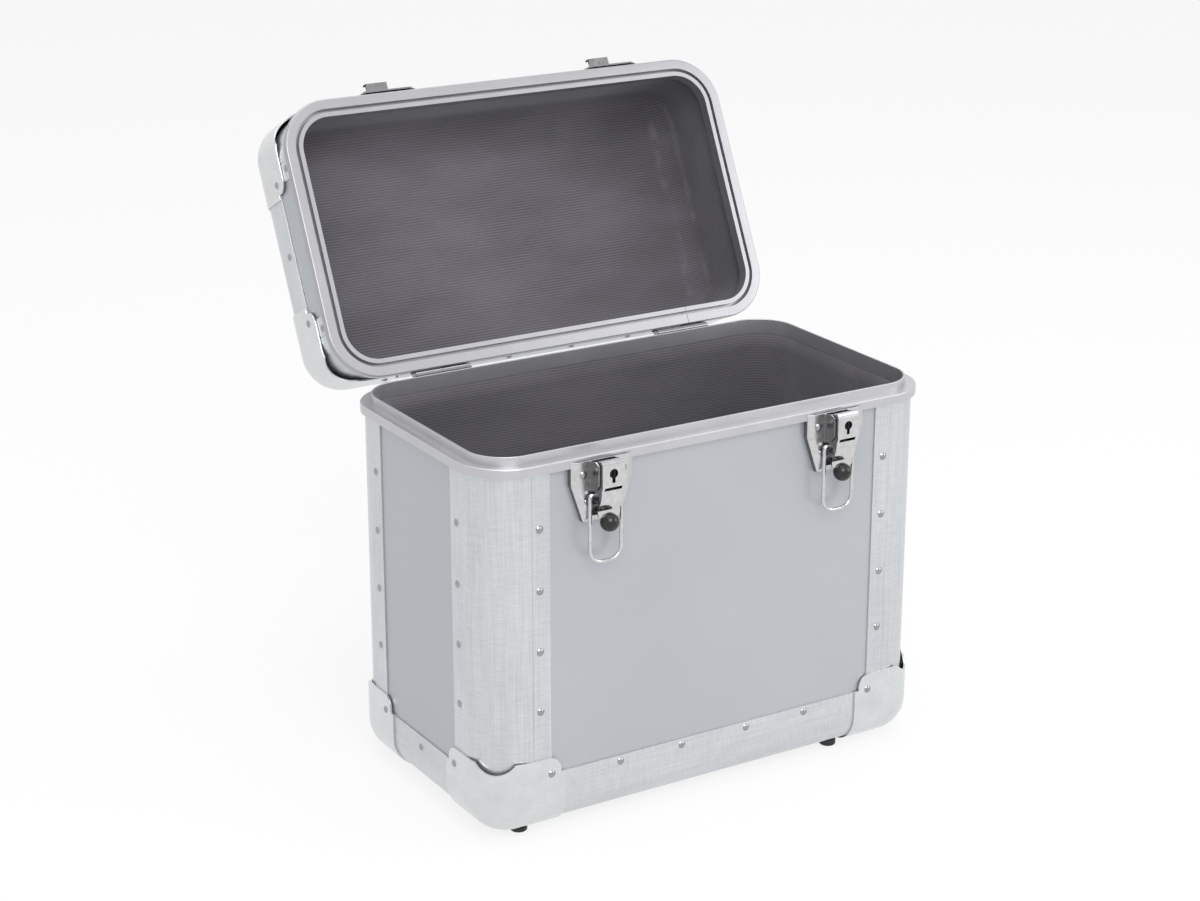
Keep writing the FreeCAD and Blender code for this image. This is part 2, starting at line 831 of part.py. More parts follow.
def lid_rim():
    """Rim of the lid: a lip outside, a land, a groove for the box's tongue and a bead inside."""
    body = new_body("lid_rim")
    land = "(%s + seam_gap)" % SEAM
    sketch = new_sketch(body, "XY_Plane", land)
    draw_path(sketch, ring_points("rim_overhang"))
    draw_path(sketch, ring_points("(0 - bead_reach)"))
    pad(body, sketch, "lid_lip")
    level = lambda e: at_height(e, land) or at_height(e, land + " + lid_lip")
    outside = lambda e: edge_reaches(e, "rim_overhang") and level(e)
    dress(body, "Fillet", "rim_round", outside)
    upper = new_sketch(body, "XY_Plane", land + " + lid_lip")
    draw_path(upper, ring_points("(0 * skin)"))
    draw_path(upper, ring_points("(0 - bead_reach)"))
    pad(body, upper, "lid_rim_height - lid_lip")
    groove = new_sketch(body, "XY_Plane", land)
    draw_path(groove, ring_points("(tongue_thickness + groove_outer_gap - %s)" % WALL))
    draw_path(groove, ring_points("(0 - groove_inner_gap - %s)" % WALL))
    pocket(body, groove, "tongue_height - seam_gap + groove_end_gap", back=True)
    slot = new_sketch(body, "XY_Plane", land + " + lid_rim_height")
    draw_path(slot, ring_points("(0 - skin)"))
    draw_path(slot, ring_points("(0 - skin - %s)" % SLOT))
    pocket(body, slot, "panel_entry")
    doc.recompute()
    body.Placement = LID_OPEN
    return node(body, "lid_rim")


# Linings


def lining(label, lid):
    """Textile skin over the walls and the floor, round along every inner edge."""
    high = "(seam_height - rim_skirt + rim_entry - joint_gap)"
    if lid:
        high = "(lid_height - seam_gap - lid_rim_height)"
    blocks = []
    outside = "(%s + panel_fit)" % FRAME_WALL
    for name, inwards, top in (("_outside", outside, high), ("_inside", WALL, high + " + overrun")):
        body = new_body(label + name)
        sketch = new_sketch(body, "XY_Plane", inwards)
        draw_path(sketch, ring_points("(0 - %s)" % inwards))
        pad(body, sketch, "%s - %s" % (top, inwards))
        dress(body, "Fillet", "edge_radius - " + inwards, lambda e, low=inwards: at_height(e, low))
        blocks.append(body)
    doc.recompute()
    skin = doc.addObject("Part::Cut", label)
    skin.Base = blocks[0]
    skin.Tool = blocks[1]
    skin.Placement = LID_SEAT if lid else BOX_SEAT
    return node(skin, label)


# Latches, drawn about the seam line at the rim's outer face: X across, -Y out, Z up

PANEL_OUT = "(0 - rim_overhang - skin - panel_fit)"


def side_sketch(body, points, lift="0"):
    """A sketch of a side view, given as distances out from the rim face and up from the seam."""
    sketch = new_sketch(body, "YZ_Plane", lift)
    draw_path(sketch, [("-(%s)" % p[0], p[1]) + tuple(p[2:]) for p in points])
    return sketch


def plate_across(body, points, low, high):
    """Add a plate cut to a side view, between two places across."""
    return pad(body, side_sketch(body, points, low), "(%s) - (%s)" % (high, low))


def rod(name, radius, half_length, out, up):
    """A round bar that runs across at a place of the side view."""
    bar = doc.addObject("Part::Cylinder", name)
    bind(bar, Radius=radius, Height="2 * (%s)" % half_length)
    corner = Vector(-number(half_length), -number(out), number(up))
    bar.Placement = Placement(corner, Rotation(Vector(0, 1, 0), 90))
    return bar


def hole_outwards(name, radius, x, up):
    """A drill that runs out through a plate at a place of the front view."""
    drill_rod = doc.addObject("Part::Cylinder", name)
    bind(drill_rod, Radius=radius, Height="4 * (rim_overhang + sheet + overrun)")
    start = Vector(number(x), 2 * number("rim_overhang + sheet + overrun"), number(up))
    drill_rod.Placement = Placement(start, Rotation(Vector(1, 0, 0), 90))
    return drill_rod


def pressing(name, corners, slopes):
    """A pressed dish that stands on the panel, hollow behind, its top over the rim's face."""

    def outline(out, inset, wall):
        points = []
        for (x, up), (slope_x, slope_up) in zip(corners, slopes):
            side = 1 if number(x) > 0 else -1
            move_x = number(slope_x) * inset + number("sheet") * wall
            move_up = (number(slope_up) * inset + number("sheet") * wall) if number(slope_up) else 0
            direction = 1 if number(slope_up) > 0 else -1
            place_up = number(up) + direction * abs(move_up)
            points.append(Vector(number(x) - side * move_x, -number(out), place_up))
        return Part.makePolygon(points + [points[0]])

    def block(face, wall):
        """Upright walls from the panel to the rim's level, then the bevel up to the face."""
        seat, brow = outline(PANEL_OUT + " + panel_fit", 0, wall), outline("panel_fit", 0, wall)
        lower = Part.makeLoft([seat, brow], True, True)
        upper = Part.makeLoft([brow, outline(face, 1, wall)], True, True)
        return lower.fuse(upper).removeSplitter()

    feature = doc.addObject("Part::Feature", name)
    feature.Shape = block("pressing_face", 0).cut(block("pressing_face - sheet", 1))
    return feature


def cut_from(name, base, tools):
    """Take several tools from a base."""
    bundle = doc.addObject("Part::Compound", name + "_tools")
    bundle.Links = tools
    result = doc.addObject("Part::Cut", name)
    result.Base = base
    result.Tool = bundle
    doc.recompute()
    return result


def joined(name, items):
    result = doc.addObject("Part::MultiFuse", name)
    result.Shapes = items
    doc.recompute()
    return result


def rim_room(name, low, high, out="panel_fit"):
    """The space of a rim behind a pressing."""
    block = doc.addObject("Part::Box", name)
    bind(block, Length="4 * base_half_width", Width="2 * rim_skirt", Height="(%s) - (%s)" % (high, low))
    corner = Vector(-2 * number("base_half_width"), -number(out), number(low))
    block.Placement = Placement(corner, Rotation())
    return block


def latch_base():
    """Pressed base with a bevelled edge, two ears for the lever's pin and rivet holes."""
    half, tip = "base_half_width", "base_tip_half_width"
    corners = [
        (half, "-base_top"),
        (half, "-base_shoulder"),
        (tip, "-base_bottom"),
        ("-" + tip, "-base_bottom"),
        ("-" + half, "-base_shoulder"),
        ("-" + half, "-base_top"),
    ]
    level, low = ("base_bevel", "0"), ("base_bevel", "base_bevel")
    shell = pressing("base_pressing", corners, [level, level, low, low, level, level])
    root = "(pressing_face - sheet / 2)"
    ear = [
        (root, "-ear_top"),
        ("ear_nose", "-lever_top - sheet"),
        ("ear_out", "-ear_top"),
        ("ear_out", "-ear_front_drop"),
        ("ear_nose", "-ear_nose_drop"),
        (root, "-ear_bottom"),
    ]
    ears = []
    for side, name in ((-1, "left"), (1, "right")):
        near = "%d * (lever_half_width + ear_gap)" % side
        far = "%d * (lever_half_width + ear_gap + sheet)" % side
        body = new_body("base_ear_" + name)
        plate_across(body, ear, near if side > 0 else far, far if side > 0 else near)
        ears.append(body)
    doc.recompute()
    seated = cut_from("base_seated", shell, [rim_room("base_rim", "-rim_skirt - joint_gap", "0")])
    whole = joined("base_joined", [seated] + ears)
    bore = "lever_pin_radius + panel_fit"
    drills = [rod("base_bore", bore, "4 * sheet + lever_half_width", "lever_pin_out", "-lever_pin_drop")]
    small = "small_rivet_shank / 2 + rivet_fit"
    for side in EDGE_SIDES:
        big_x, small_x = "%d * big_rivet_side" % side, "%d * small_rivet_side" % side
        drills.append(hole_outwards("base_big_hole", RIVET_HOLE, big_x, "-big_rivet_drop"))
        drills.append(hole_outwards("base_small_hole", small, small_x, "-small_rivet_drop"))
    return cut_from("base_master", whole, drills)


def latch_lever():
    """Folded lever: box-shaped head with a keyhole, two cheeks, a bridge and a curved finger."""
    body = new_body("lever_master")
    half = "lever_half_width"
    plate = [
        ("lever_brow", "-lever_top - sheet"),
        ("lever_face - sheet", "-lever_top"),
        ("lever_face - cover_rise", "-lever_top - sheet"),
        ("lever_face - cover_rise", "-cover_drop"),
        ("lever_face", "-cover_drop"),
        ("lever_face", "-head_bottom"),
        ("step_out", "-step_drop", "finger_curve", 1),
        ("finger_low_out", "-finger_low_drop"),
        ("finger_end_out", "-finger_end_drop"),
        ("finger_end_out - sheet", "-finger_end_drop"),
        ("finger_low_out - sheet", "-finger_low_drop", "(finger_curve + sheet)", -1),
        ("step_out - sheet", "-step_drop"),
        ("lever_face - sheet", "-head_bottom + sheet / 2"),
        ("lever_face - sheet", "-cover_drop - sheet"),
        ("lever_face - sheet - cover_rise", "-cover_drop - sheet"),
        ("lever_face - sheet - cover_rise", "-lever_top - 1.5 * sheet"),
        ("lever_brow", "-lever_top - 2 * sheet"),
    ]
    plate_across(body, plate, "-" + half, half)
    window = new_sketch(body, "XZ_Plane", "lever_face - 4 * sheet")
    side, top, low = "window_half_width", "-head_bottom", "-step_drop"
    draw_path(window, [("-" + side, low), (side, low), (side, top), ("-" + side, top)])
    pocket(body, window, "5 * sheet", back=True)
    # the finger's foot is round at its corners and ends in a tongue inside the ball
    for side, turn in (("", -1), ("-", 1)):
        foot = new_sketch(body, "XZ_Plane")
        corner = [
            (side + "(lever_half_width + sheet)", "(0 - finger_foot_drop + finger_foot_round)"),
            (side + half, "(0 - finger_foot_drop + finger_foot_round)", "finger_foot_round", turn),
            (side + "(lever_half_width - finger_foot_round)", "(0 - finger_foot_drop)"),
            (side + "tongue_half_width", "(0 - finger_foot_drop)"),
            (side + "tongue_half_width", "(0 - finger_end_drop - sheet)"),
            (side + "(lever_half_width + sheet)", "(0 - finger_end_drop - sheet)"),
        ]
        draw_path(foot, corner)
        pocket(body, foot, "lever_face", back=True)
    cheek = [
        ("lever_brow", "-lever_top - 1.5 * sheet"),
        ("lever_face - sheet - cover_rise", "-lever_top - 0.5 * sheet"),
        ("lever_face - sheet", "-lever_top - sheet"),
        ("lever_face - sheet", "-cover_drop - 0.2 * sheet"),
        ("lever_face - 0.5 * sheet", "-cover_drop - 0.2 * sheet"),
        ("lever_face - 0.5 * sheet", "-head_bottom + 0.2 * sheet"),
        ("step_out - 0.5 * sheet", "-step_drop", "(finger_curve + 0.5 * sheet)", 1),
        ("cheek_low_out", "-cheek_low_drop"),
        ("cheek_heel", "-bail_pin_drop - cheek_heel_half"),
        ("cheek_heel", "-bail_pin_drop + cheek_heel_half"),
        ("cheek_in", "-head_bottom + 2 * sheet"),
        ("cheek_in", "-lever_top - 3 * sheet"),
    ]
    plate_across(body, cheek, "-" + half, "0 - lever_half_width + sheet")
    plate_across(body, cheek, "lever_half_width - sheet", half)
    low = "-key_drop - lock_collar_radius"
    bridge = [
        ("bridge_out - sheet", "-key_drop + lock_collar_radius"),
        ("bridge_out", "-key_drop + lock_collar_radius"),
        ("bridge_out", low),
        ("bridge_out - sheet", low),
    ]
    plate_across(body, bridge, "0 - lever_half_width + 0.5 * sheet", "lever_half_width - 0.5 * sheet")
    drill(body, "YZ_Plane", [("-lever_pin_out", "-lever_pin_drop")], "lever_pin_radius + running_fit")
    drill(body, "YZ_Plane", [("-bail_pin_out", "-bail_pin_drop")], "bail_wire_radius + running_fit")
    spindle = new_sketch(body, "XZ_Plane")
    draw_circle(spindle, "0 * sheet", "-key_drop", "lock_spindle_radius + running_fit")
    pocket(body, spindle, "bridge_out + sheet", back=True)
    key = new_sketch(body, "XZ_Plane", "lever_face - 1.5 * sheet")
    draw_circle(key, "0 * sheet", "-key_drop", "key_radius")
    pocket(body, key, "2 * sheet", back=True)
    slot = new_sketch(body, "XZ_Plane", "lever_face - 1.5 * sheet")
    side, bottom = "(key_slot_width / 2)", "(0 - key_drop - key_slot_drop)"
    draw_path(slot, [("-" + side, bottom), (side, bottom), (side, "-key_drop"), ("-" + side, "-key_drop")])
    pocket(body, slot, "2 * sheet", back=True)
    doc.recompute()
    return body


def lever_tip():
    """Moulded ball on the tongue at the end of the lever's finger."""
    ball = doc.addObject("Part::Sphere", "tip_ball")
    bind(ball, Radius="ball_radius")
    ball.Placement = Placement(Vector(0, -number("ball_out"), -number("ball_drop")), Rotation())
    ball.setExpression("Placement.Base.y", formula("-ball_out"))
    ball.setExpression("Placement.Base.z", formula("-ball_drop"))
    doc.recompute()
    wide = tip_slot("tip_foot_slot", "(ball_radius + sheet)", "(finger_foot_drop + panel_fit)")
    narrow = tip_slot("tip_tongue_slot", "(tongue_half_width + panel_fit)", "(finger_end_drop + panel_fit)")
    return cut_from("tip_master", ball, [wide, narrow])


def tip_slot(name, half, low):
    """Room for the straight end of the finger, from over the ball down to a drop."""
    body = new_body(name)
    top = "(ball_drop - ball_radius - sheet)"
    lean = "((finger_end_out - finger_low_out) / (finger_end_drop - finger_low_drop))"
    upper, lower = ["(finger_end_out - %s * (finger_end_drop - %s))" % (lean, drop) for drop in (top, low)]
    room = [
        (upper + " + panel_fit", "0 - " + top),
        (lower + " + panel_fit", "0 - " + low),
        (lower + " - sheet - panel_fit", "0 - " + low),
        (upper + " - sheet - panel_fit", "0 - " + top),
    ]
    plate_across(body, room, "0 - " + half, half)
    doc.recompute()
    return body


def latch_bail():
    """Wire loop hung from the lever, its two feet turned inwards through the cheeks."""
    path = doc.addObject("Sketcher::SketchObject", "bail_path")
    path.Placement = Placement(Vector(0, -number("bail_pin_out"), 0), Rotation(Vector(1, 0, 0), 90))
    path.setExpression("Placement.Base.y", formula("-bail_pin_out"))
    foot = "(lever_half_width - bail_foot_inset)"
    side, bend, curve = "bail_half_width", "bail_bend", "bail_curve"
    up, low = "(0 - bail_pin_drop)", "(0 - bail_pin_drop - bail_length)"
    points = [
        ("-" + foot, up),
        ("-(bail_half_width - bail_bend)", up, bend, 1),
        ("-" + side, "(0 - bail_pin_drop - bail_bend)"),
        ("-" + side, "(0 - bail_pin_drop - bail_length + bail_curve)", curve, 1),
        ("-(bail_half_width - bail_curve)", low),
        ("(bail_half_width - bail_curve)", low, curve, 1),
        (side, "(0 - bail_pin_drop - bail_length + bail_curve)"),
        (side, "(0 - bail_pin_drop - bail_bend)", bend, 1),
        ("(bail_half_width - bail_bend)", up),
        (foot, up),
    ]
    draw_path(path, points, closed=False)
    section = doc.addObject("Sketcher::SketchObject", "bail_section")
    start = Vector(-number(foot), -number("bail_pin_out"), -number("bail_pin_drop"))
    section.Placement = Placement(start, Rotation(Vector(0, 1, 0), 90))
    draw_circle(section, "0 * sheet", "0 * sheet", "bail_wire_radius")
    return swept("bail_master", section, path)


def swept(name, section, path):
    doc.recompute()
    sweep = doc.addObject("Part::Sweep", name)
    sweep.Sections = [section]
    sweep.Spine = (path, ["Edge%d" % (i + 1) for i in range(len(path.Shape.Edges))])
    sweep.Solid = True
    sweep.Frenet = True
    doc.recompute()
    return sweep


def latch_lock():
    """Turning plate behind the keyhole, its spindle held in the lever's bridge."""
    body = new_body("lock_master")
    face = "(lever_face - sheet - lock_gap)"
    disc = new_sketch(body, "XZ_Plane", face)
    draw_circle(disc, "0 * sheet", "-key_drop", "lock_radius")
    pad(body, disc, "lock_thickness", back=True)
    tab = new_sketch(body, "XZ_Plane", face)
    side, low = "(lock_tab_width / 2)", "(0 - key_drop - lock_reach)"
    draw_path(tab, [("-" + side, low), (side, low), (side, "-key_drop"), ("-" + side, "-key_drop")])
    pad(body, tab, "lock_thickness", back=True)
    spindle = new_sketch(body, "XZ_Plane", face)
    draw_circle(spindle, "0 * sheet", "-key_drop", "lock_spindle_radius")
    pad(body, spindle, face + " - bridge_out + sheet + running_fit + lock_collar_width", back=True)
    collar = new_sketch(body, "XZ_Plane", "bridge_out - sheet - running_fit")
    draw_circle(collar, "0 * sheet", "-key_drop", "lock_collar_radius")
    pad(body, collar, "lock_collar_width", back=True)
    keyway = new_sketch(body, "XZ_Plane", face)
    side = "(keyway_width / 2)"
    top, low = "(0 - key_drop + keyway_length / 2)", "(0 - key_drop - keyway_length / 2)"
    draw_path(keyway, [("-" + side, low), (side, low), (side, top), ("-" + side, top)])
    pocket(body, keyway, "keyway_depth")
    return body


def lid_catch():
    """Pressed plate on the lid with a bent hook for the latch wire."""
    half = "catch_half_width"
    high, low = "catch_high", "catch_low"
    corners = [(half, high), (half, low), ("-" + half, low), ("-" + half, high)]
    top, bottom = ("catch_bevel", "-catch_bevel"), ("catch_bevel", "0")
    shell = pressing("catch_pressing", corners, [top, bottom, bottom, top])
    root = "(pressing_face - sheet / 2)"
    hook = [
        (root, "hook_shelf"),
        ("hook_out", "hook_shelf"),
        ("hook_out", "hook_top"),
        ("hook_out - sheet", "hook_top"),
        ("hook_out - sheet", "hook_seat"),
        (root, "hook_seat"),
    ]
    body = new_body("catch_hook")
    plate_across(body, hook, "-hook_half_width", "hook_half_width")
    doc.recompute()
    rooms = [
        rim_room("catch_lip", "0", "seam_gap + lid_lip + joint_gap"),
        rim_room("catch_rim", "0", "seam_gap + lid_rim_height + joint_gap", "joint_gap - rim_overhang"),
    ]
    seated = cut_from("catch_seated", shell, rooms)
    whole = joined("catch_joined", [seated, body])
    drills = []
    for side in EDGE_SIDES:
        drills.append(hole_outwards("catch_hole", RIVET_HOLE, "%d * catch_rivet_side" % side, "catch_rivet_rise"))
    return cut_from("catch_master", whole, drills)


# Hinges, drawn like the latches and then turned to the back

PIN_OUT = "(knuckle_radius + hinge_clear)"


def hinge_leaf(name, lid):
    """Joggled leaf with one knuckle, riveted to the wall; the lid's leaf carries the stop."""
    body = new_body(name)
    if lid:
        sign, rim_end, start = "", "(seam_gap + lid_lip + sheet / 2)", "(2 * hinge_pin_rise + leaf_start)"
    else:
        sign, rim_end, start = "-", "(rim_skirt + sheet / 2)", "leaf_start"
    low, high = "(panel_fit)", "(panel_fit + sheet)"
    seat, face = "(%s + panel_fit)" % PANEL_OUT, "(%s + panel_fit + sheet)" % PANEL_OUT
    leaf = [
        (low, sign + start),
        (low, sign + rim_end),
        (seat, "%s(%s + leaf_run)" % (sign, rim_end)),
        (seat, sign + "leaf_reach"),
        (face, sign + "leaf_reach"),
        (face, "%s(%s + leaf_run + sheet / 4)" % (sign, rim_end)),
        (high, "%s(%s + sheet / 4)" % (sign, rim_end)),
        (high, sign + start),
    ]
    plate_across(body, leaf, "-hinge_half_width", "hinge_half_width")
    ends = ("knuckle_gap / 2", "hinge_half_width") if lid else ("-hinge_half_width", "0 - knuckle_gap / 2")
    strap = [
        (low, "hinge_pin_rise"),
        (low, "%s(%s + overrun / 2)" % (sign, start)),
        (high, "%s(%s + overrun / 2)" % (sign, start)),
        (high, "hinge_pin_rise"),
    ]
    plate_across(body, strap, *ends)
    barrel = new_sketch(body, "YZ_Plane", ends[0])
    draw_circle(barrel, "0 - " + PIN_OUT, "hinge_pin_rise", "knuckle_radius")
    pad(body, barrel, "(%s) - (%s)" % (ends[1], ends[0]))
    if lid:
        heel = new_sketch(body, "YZ_Plane", ends[0])
        draw_path(heel, heel_points())
        pad(body, heel, "(%s) - (%s)" % (ends[1], ends[0]))
    fit = "running_fit" if lid else "panel_fit"
    drill(body, "YZ_Plane", [("0 - " + PIN_OUT, "hinge_pin_rise")], "hinge_pin_radius + " + fit)
    holes = [("%d * hinge_rivet_side" % side, sign + "hinge_rivet_reach") for side in EDGE_SIDES]
    drill(body, "XZ_Plane", holes, RIVET_HOLE)
    doc.recompute()
    return body


def heel_points():
    """The stop seen from the side: at the open angle it lies against the body's leaf."""
    turn = "(open_angle * 1deg)"
    points = []
    inner = "(%s - panel_fit - sheet - knuckle_gap)" % PIN_OUT
    outer = "(%s - sheet)" % inner
    for across, along in ((inner, "0"), (inner, "stop_length"), (outer, "stop_length"), (outer, "0")):
        # open: the heel runs down at a distance in from the pin; closed it is turned back
        out = "(-%s + 0 * sheet)" % across
        y = "(cos(%s) * %s - sin(%s) * (0 - %s))" % (turn, out, turn, along)
        z = "(sin(%s) * %s + cos(%s) * (0 - %s))" % (turn, out, turn, along)
        points.append(("0 - (%s + %s)" % (PIN_OUT, y), "hinge_pin_rise + %s" % z))
    return points


def hinge_pin():
    """Pin with a head at each end."""
    body = new_body("hinge_pin_master")
    sketch = new_sketch(body, "XZ_Plane")
    inner = "(hinge_half_width + panel_fit)"
    outer = "(hinge_half_width + panel_fit + hinge_head_width)"
    points = [("0 * sheet", "-" + outer)]
    for side in ("-", ""):
        head, neck = ("hinge_pin_head", side + inner), ("hinge_pin_radius", side + inner)
        ring = [("hinge_pin_head", side + outer), head, neck]
        points += ring if side else ring[::-1]
    points.append(("0 * sheet", outer))
    draw_path(sketch, points)
    turned = body.newObject("PartDesign::Revolution", "hinge_pin_turned")
    turned.Profile = sketch
    turned.ReferenceAxis = (sketch, ["V_Axis"])
    turned.Angle = 360
    doc.recompute()
    return body


# Handle, drawn about the middle of the lid's top panel: Z out of the lid


def handle_rod():
    """Bent rod; drawn lying along +Y and then lifted to where it hangs with the lid open."""
    path = doc.addObject("Sketcher::SketchObject", "handle_path")
    leg, bend, reach = "handle_leg", "handle_bend", "handle_reach"
    points = [
        ("-handle_end", "0 * sheet"),
        ("-(handle_leg + handle_bend)", "0 * sheet", bend, 1),
        ("-" + leg, bend),
        ("-" + leg, "(handle_reach - handle_bend)", bend, -1),
        ("-(handle_leg - handle_bend)", reach),
        ("(handle_leg - handle_bend)", reach, bend, -1),
        (leg, "(handle_reach - handle_bend)"),
        (leg, bend, bend, 1),
        ("(handle_leg + handle_bend)", "0 * sheet"),
        ("handle_end", "0 * sheet"),
    ]
    draw_path(path, points, closed=False)
    section = doc.addObject("Sketcher::SketchObject", "handle_section")
    section.Placement = Placement(Vector(-number("handle_end"), 0, 0), Rotation(Vector(0, 1, 0), 90))
    draw_circle(section, "0 * sheet", "0 * sheet", "handle_rod_radius")
    return swept("handle_rod_master", section, path)


def handle_grip():
    """Sleeve round the middle of the rod."""
    body = new_body("grip_master")
    sketch = new_sketch(body, "YZ_Plane", "-grip_half_length")
    draw_circle(sketch, "handle_reach", "0 * sheet", "grip_radius")
    draw_circle(sketch, "handle_reach", "0 * sheet", "handle_rod_radius + panel_fit")
    pad(body, sketch, "2 * grip_half_length")
    edge_room = "grip_radius + handle_rod_radius"
    far = number(edge_room) / 2
    flat = lambda e: e.BoundBox.XMax - e.BoundBox.XMin < 1e-4
    dress(body, "Fillet", "grip_round", lambda e: e.BoundBox.ZMax > far and flat(e))
    doc.recompute()
    return body


def handle_bracket():
    """Plate on the lid's top with two ears for the rod's end."""
    body = new_body("bracket_master")
    sketch = new_sketch(body, "XY_Plane", "panel_fit")
    draw_path(sketch, rounded_rectangle("bracket_half_width", "bracket_half_length", "bracket_corner"))
    pad(body, sketch, "bracket_plate")
    for side in EDGE_SIDES:
        lift = "%d * bracket_ear_side - bracket_ear / 2" % side
        ear = new_sketch(body, "YZ_Plane", lift)
        radius = "bracket_ear_radius"
        points = [
            ("-" + radius, "bracket_plate / 2"),
            (radius, "bracket_plate / 2"),
            (radius, "handle_axis_rise", radius, 1),
            ("0 * sheet", "handle_axis_rise + bracket_ear_radius", radius, 1),
            ("-" + radius, "handle_axis_rise"),
        ]
        draw_path(ear, points)
        pad(body, ear, "bracket_ear")
    drill(body, "YZ_Plane", [("0 * sheet", "handle_axis_rise")], "handle_rod_radius + running_fit")
    places = [
        ("%d * bracket_rivet_side" % i, "%d * bracket_rivet_length" % j) for i in EDGE_SIDES for j in EDGE_SIDES
    ]
    drill(body, "XY_Plane", places, RIVET_HOLE)
    doc.recompute()
    return body


# Feet and rivets


def turned_body(name, points):
    """A round piece from its half section, its axis along Z."""
    body = new_body(name)
    sketch = new_sketch(body, "XZ_Plane")
    draw_path(sketch, points)
    turned = body.newObject("PartDesign::Revolution", name + "_turned")
    turned.Profile = sketch
    turned.ReferenceAxis = (sketch, ["V_Axis"])
    turned.Angle = 360
    doc.recompute()
    return body


def foot_master(name, top):
    """Rubber foot standing on the floor, with a plug for its hole."""
    points = [
        ("0 * sheet", "0 * sheet"),
        ("(foot_radius - foot_round)", "0 * sheet", "foot_round", 1),
        ("foot_radius", "foot_round"),
        ("foot_radius", top),
        ("foot_stem_radius", top),
        ("foot_stem_radius", "(foot_height + skin + %s / 2)" % SLOT),
        ("0 * sheet", "(foot_height + skin + %s / 2)" % SLOT),
    ]
    return turned_body(name, points)


def repeated(label, items):
    """One node of like pieces: each item is a master piece and its place."""
    copies = []
    for i, (master, placement) in enumerate(items):
        copy = doc.addObject("Part::Compound", "%s_%d" % (label, i + 1))
        copy.Links = [master]
        copy.Placement = placement
        copies.append(copy)
    group = doc.addObject("Part::Compound", label)
    group.Links = copies
    doc.recompute()
    return node(group, label)


def frame_rivet_places(lid, plain, long):
    """Rivets of the four faces: the ear rivets go through the caps as well."""
    seat = LID_SEAT if lid else BOX_SEAT
    items = []
    for face in FACES:
        depth = face_half(face)[0]
        for across, up in frame_rivets(face, lid):
            ear = up == "ear_rivet_height"
            out = depth + (" + " + CAP_FACE if ear else "")
            items.append((long if ear else plain, seat.multiply(on_face(face, across, up, out))))
    return items


def seam_place(face, across, out, up):
    return on_face(face, across, "%s + %s" % (SEAM, up), "%s + %s" % (RIM_FACE, out))


def latch_place(side, lid=False):
    base = Placement(shifted("%d * %s" % (side, LATCH_SIDE), "0 - " + RIM_FACE, SEAM), Rotation())
    return LID_OPEN.multiply(base) if lid else base


def hinge_place(side, lid=False):
    front = Placement(shifted("%d * %s" % (side, HINGE_SIDE), "0 - " + RIM_FACE, SEAM), Rotation())
    turned = quarter(2).multiply(front)
    return LID_OPEN.multiply(turned) if lid else turned


def across_places(middle, side):
    """Places across of a pair of rivets on each of two fittings."""
    return ["%d * %s + %d * %s" % (i, middle, j, side) for i in EDGE_SIDES for j in EDGE_SIDES]


def build_box():
    holes_big = [(x, "seam_height - big_rivet_drop") for x in across_places(LATCH_SIDE, "big_rivet_side")]
    holes_small = [(x, "seam_height - small_rivet_drop") for x in across_places(LATCH_SIDE, "small_rivet_side")]
    holes_hinge = [(x, "seam_height - hinge_rivet_reach") for x in across_places(HINGE_SIDE, "hinge_rivet_side")]
    extra = {
        "front": [(holes_big, RIVET_HOLE), (holes_small, "small_rivet_shank / 2 + rivet_fit")],
        "back": [(holes_hinge, RIVET_HOLE)],
    }
    for face in FACES:
        panel("body_%s_panel" % face, face, False, extra.get(face, ()))
    flat_panel("body_bottom_panel", False)
    upright = corner_extrusion("box_corner_master", False)
    short = edge_extrusion("short_edge_master", "right")
    edges = {
        "front": edge_extrusion("front_edge_master", "front", (FOOT_RIGHT, "-" + FOOT_LEFT)),
        "right": short,
        "back": edge_extrusion("back_edge_master", "back", ("-" + FOOT_RIGHT, FOOT_LEFT)),
        "left": short,
    }
    cap = cap_master()
    caps = {corner: cap for corner in CORNERS}
    for corner, x, y in (
        ("front_left", "foot_left_inset", FOOT_INSET),
        ("back_left", FOOT_INSET, "foot_left_inset"),
    ):
        stem = doc.addObject("Part::Cylinder", "cap_stem_hole")
        bind(stem, Radius="foot_stem_radius + panel_fit", Height="2 * cap_wall + 2 * overrun")
        stem.Placement = Placement(shifted(x, y, "0 - cap_wall - overrun"), Rotation())
        caps[corner] = cut_from("cap_%s_master" % corner, cap, [stem])
    for corner in CORNERS:
        placed("body_%s_profile" % corner, upright, corner_place(corner, BOX_SEAT))
        placed("body_%s_cap" % corner, caps[corner], corner_place(corner, BOX_SEAT))
    for face in FACES:
        placed("body_%s_edge_profile" % face, edges[face], edge_place(face, BOX_SEAT))
    box_rim()
    lining("body_lining", False)
    return cap, short


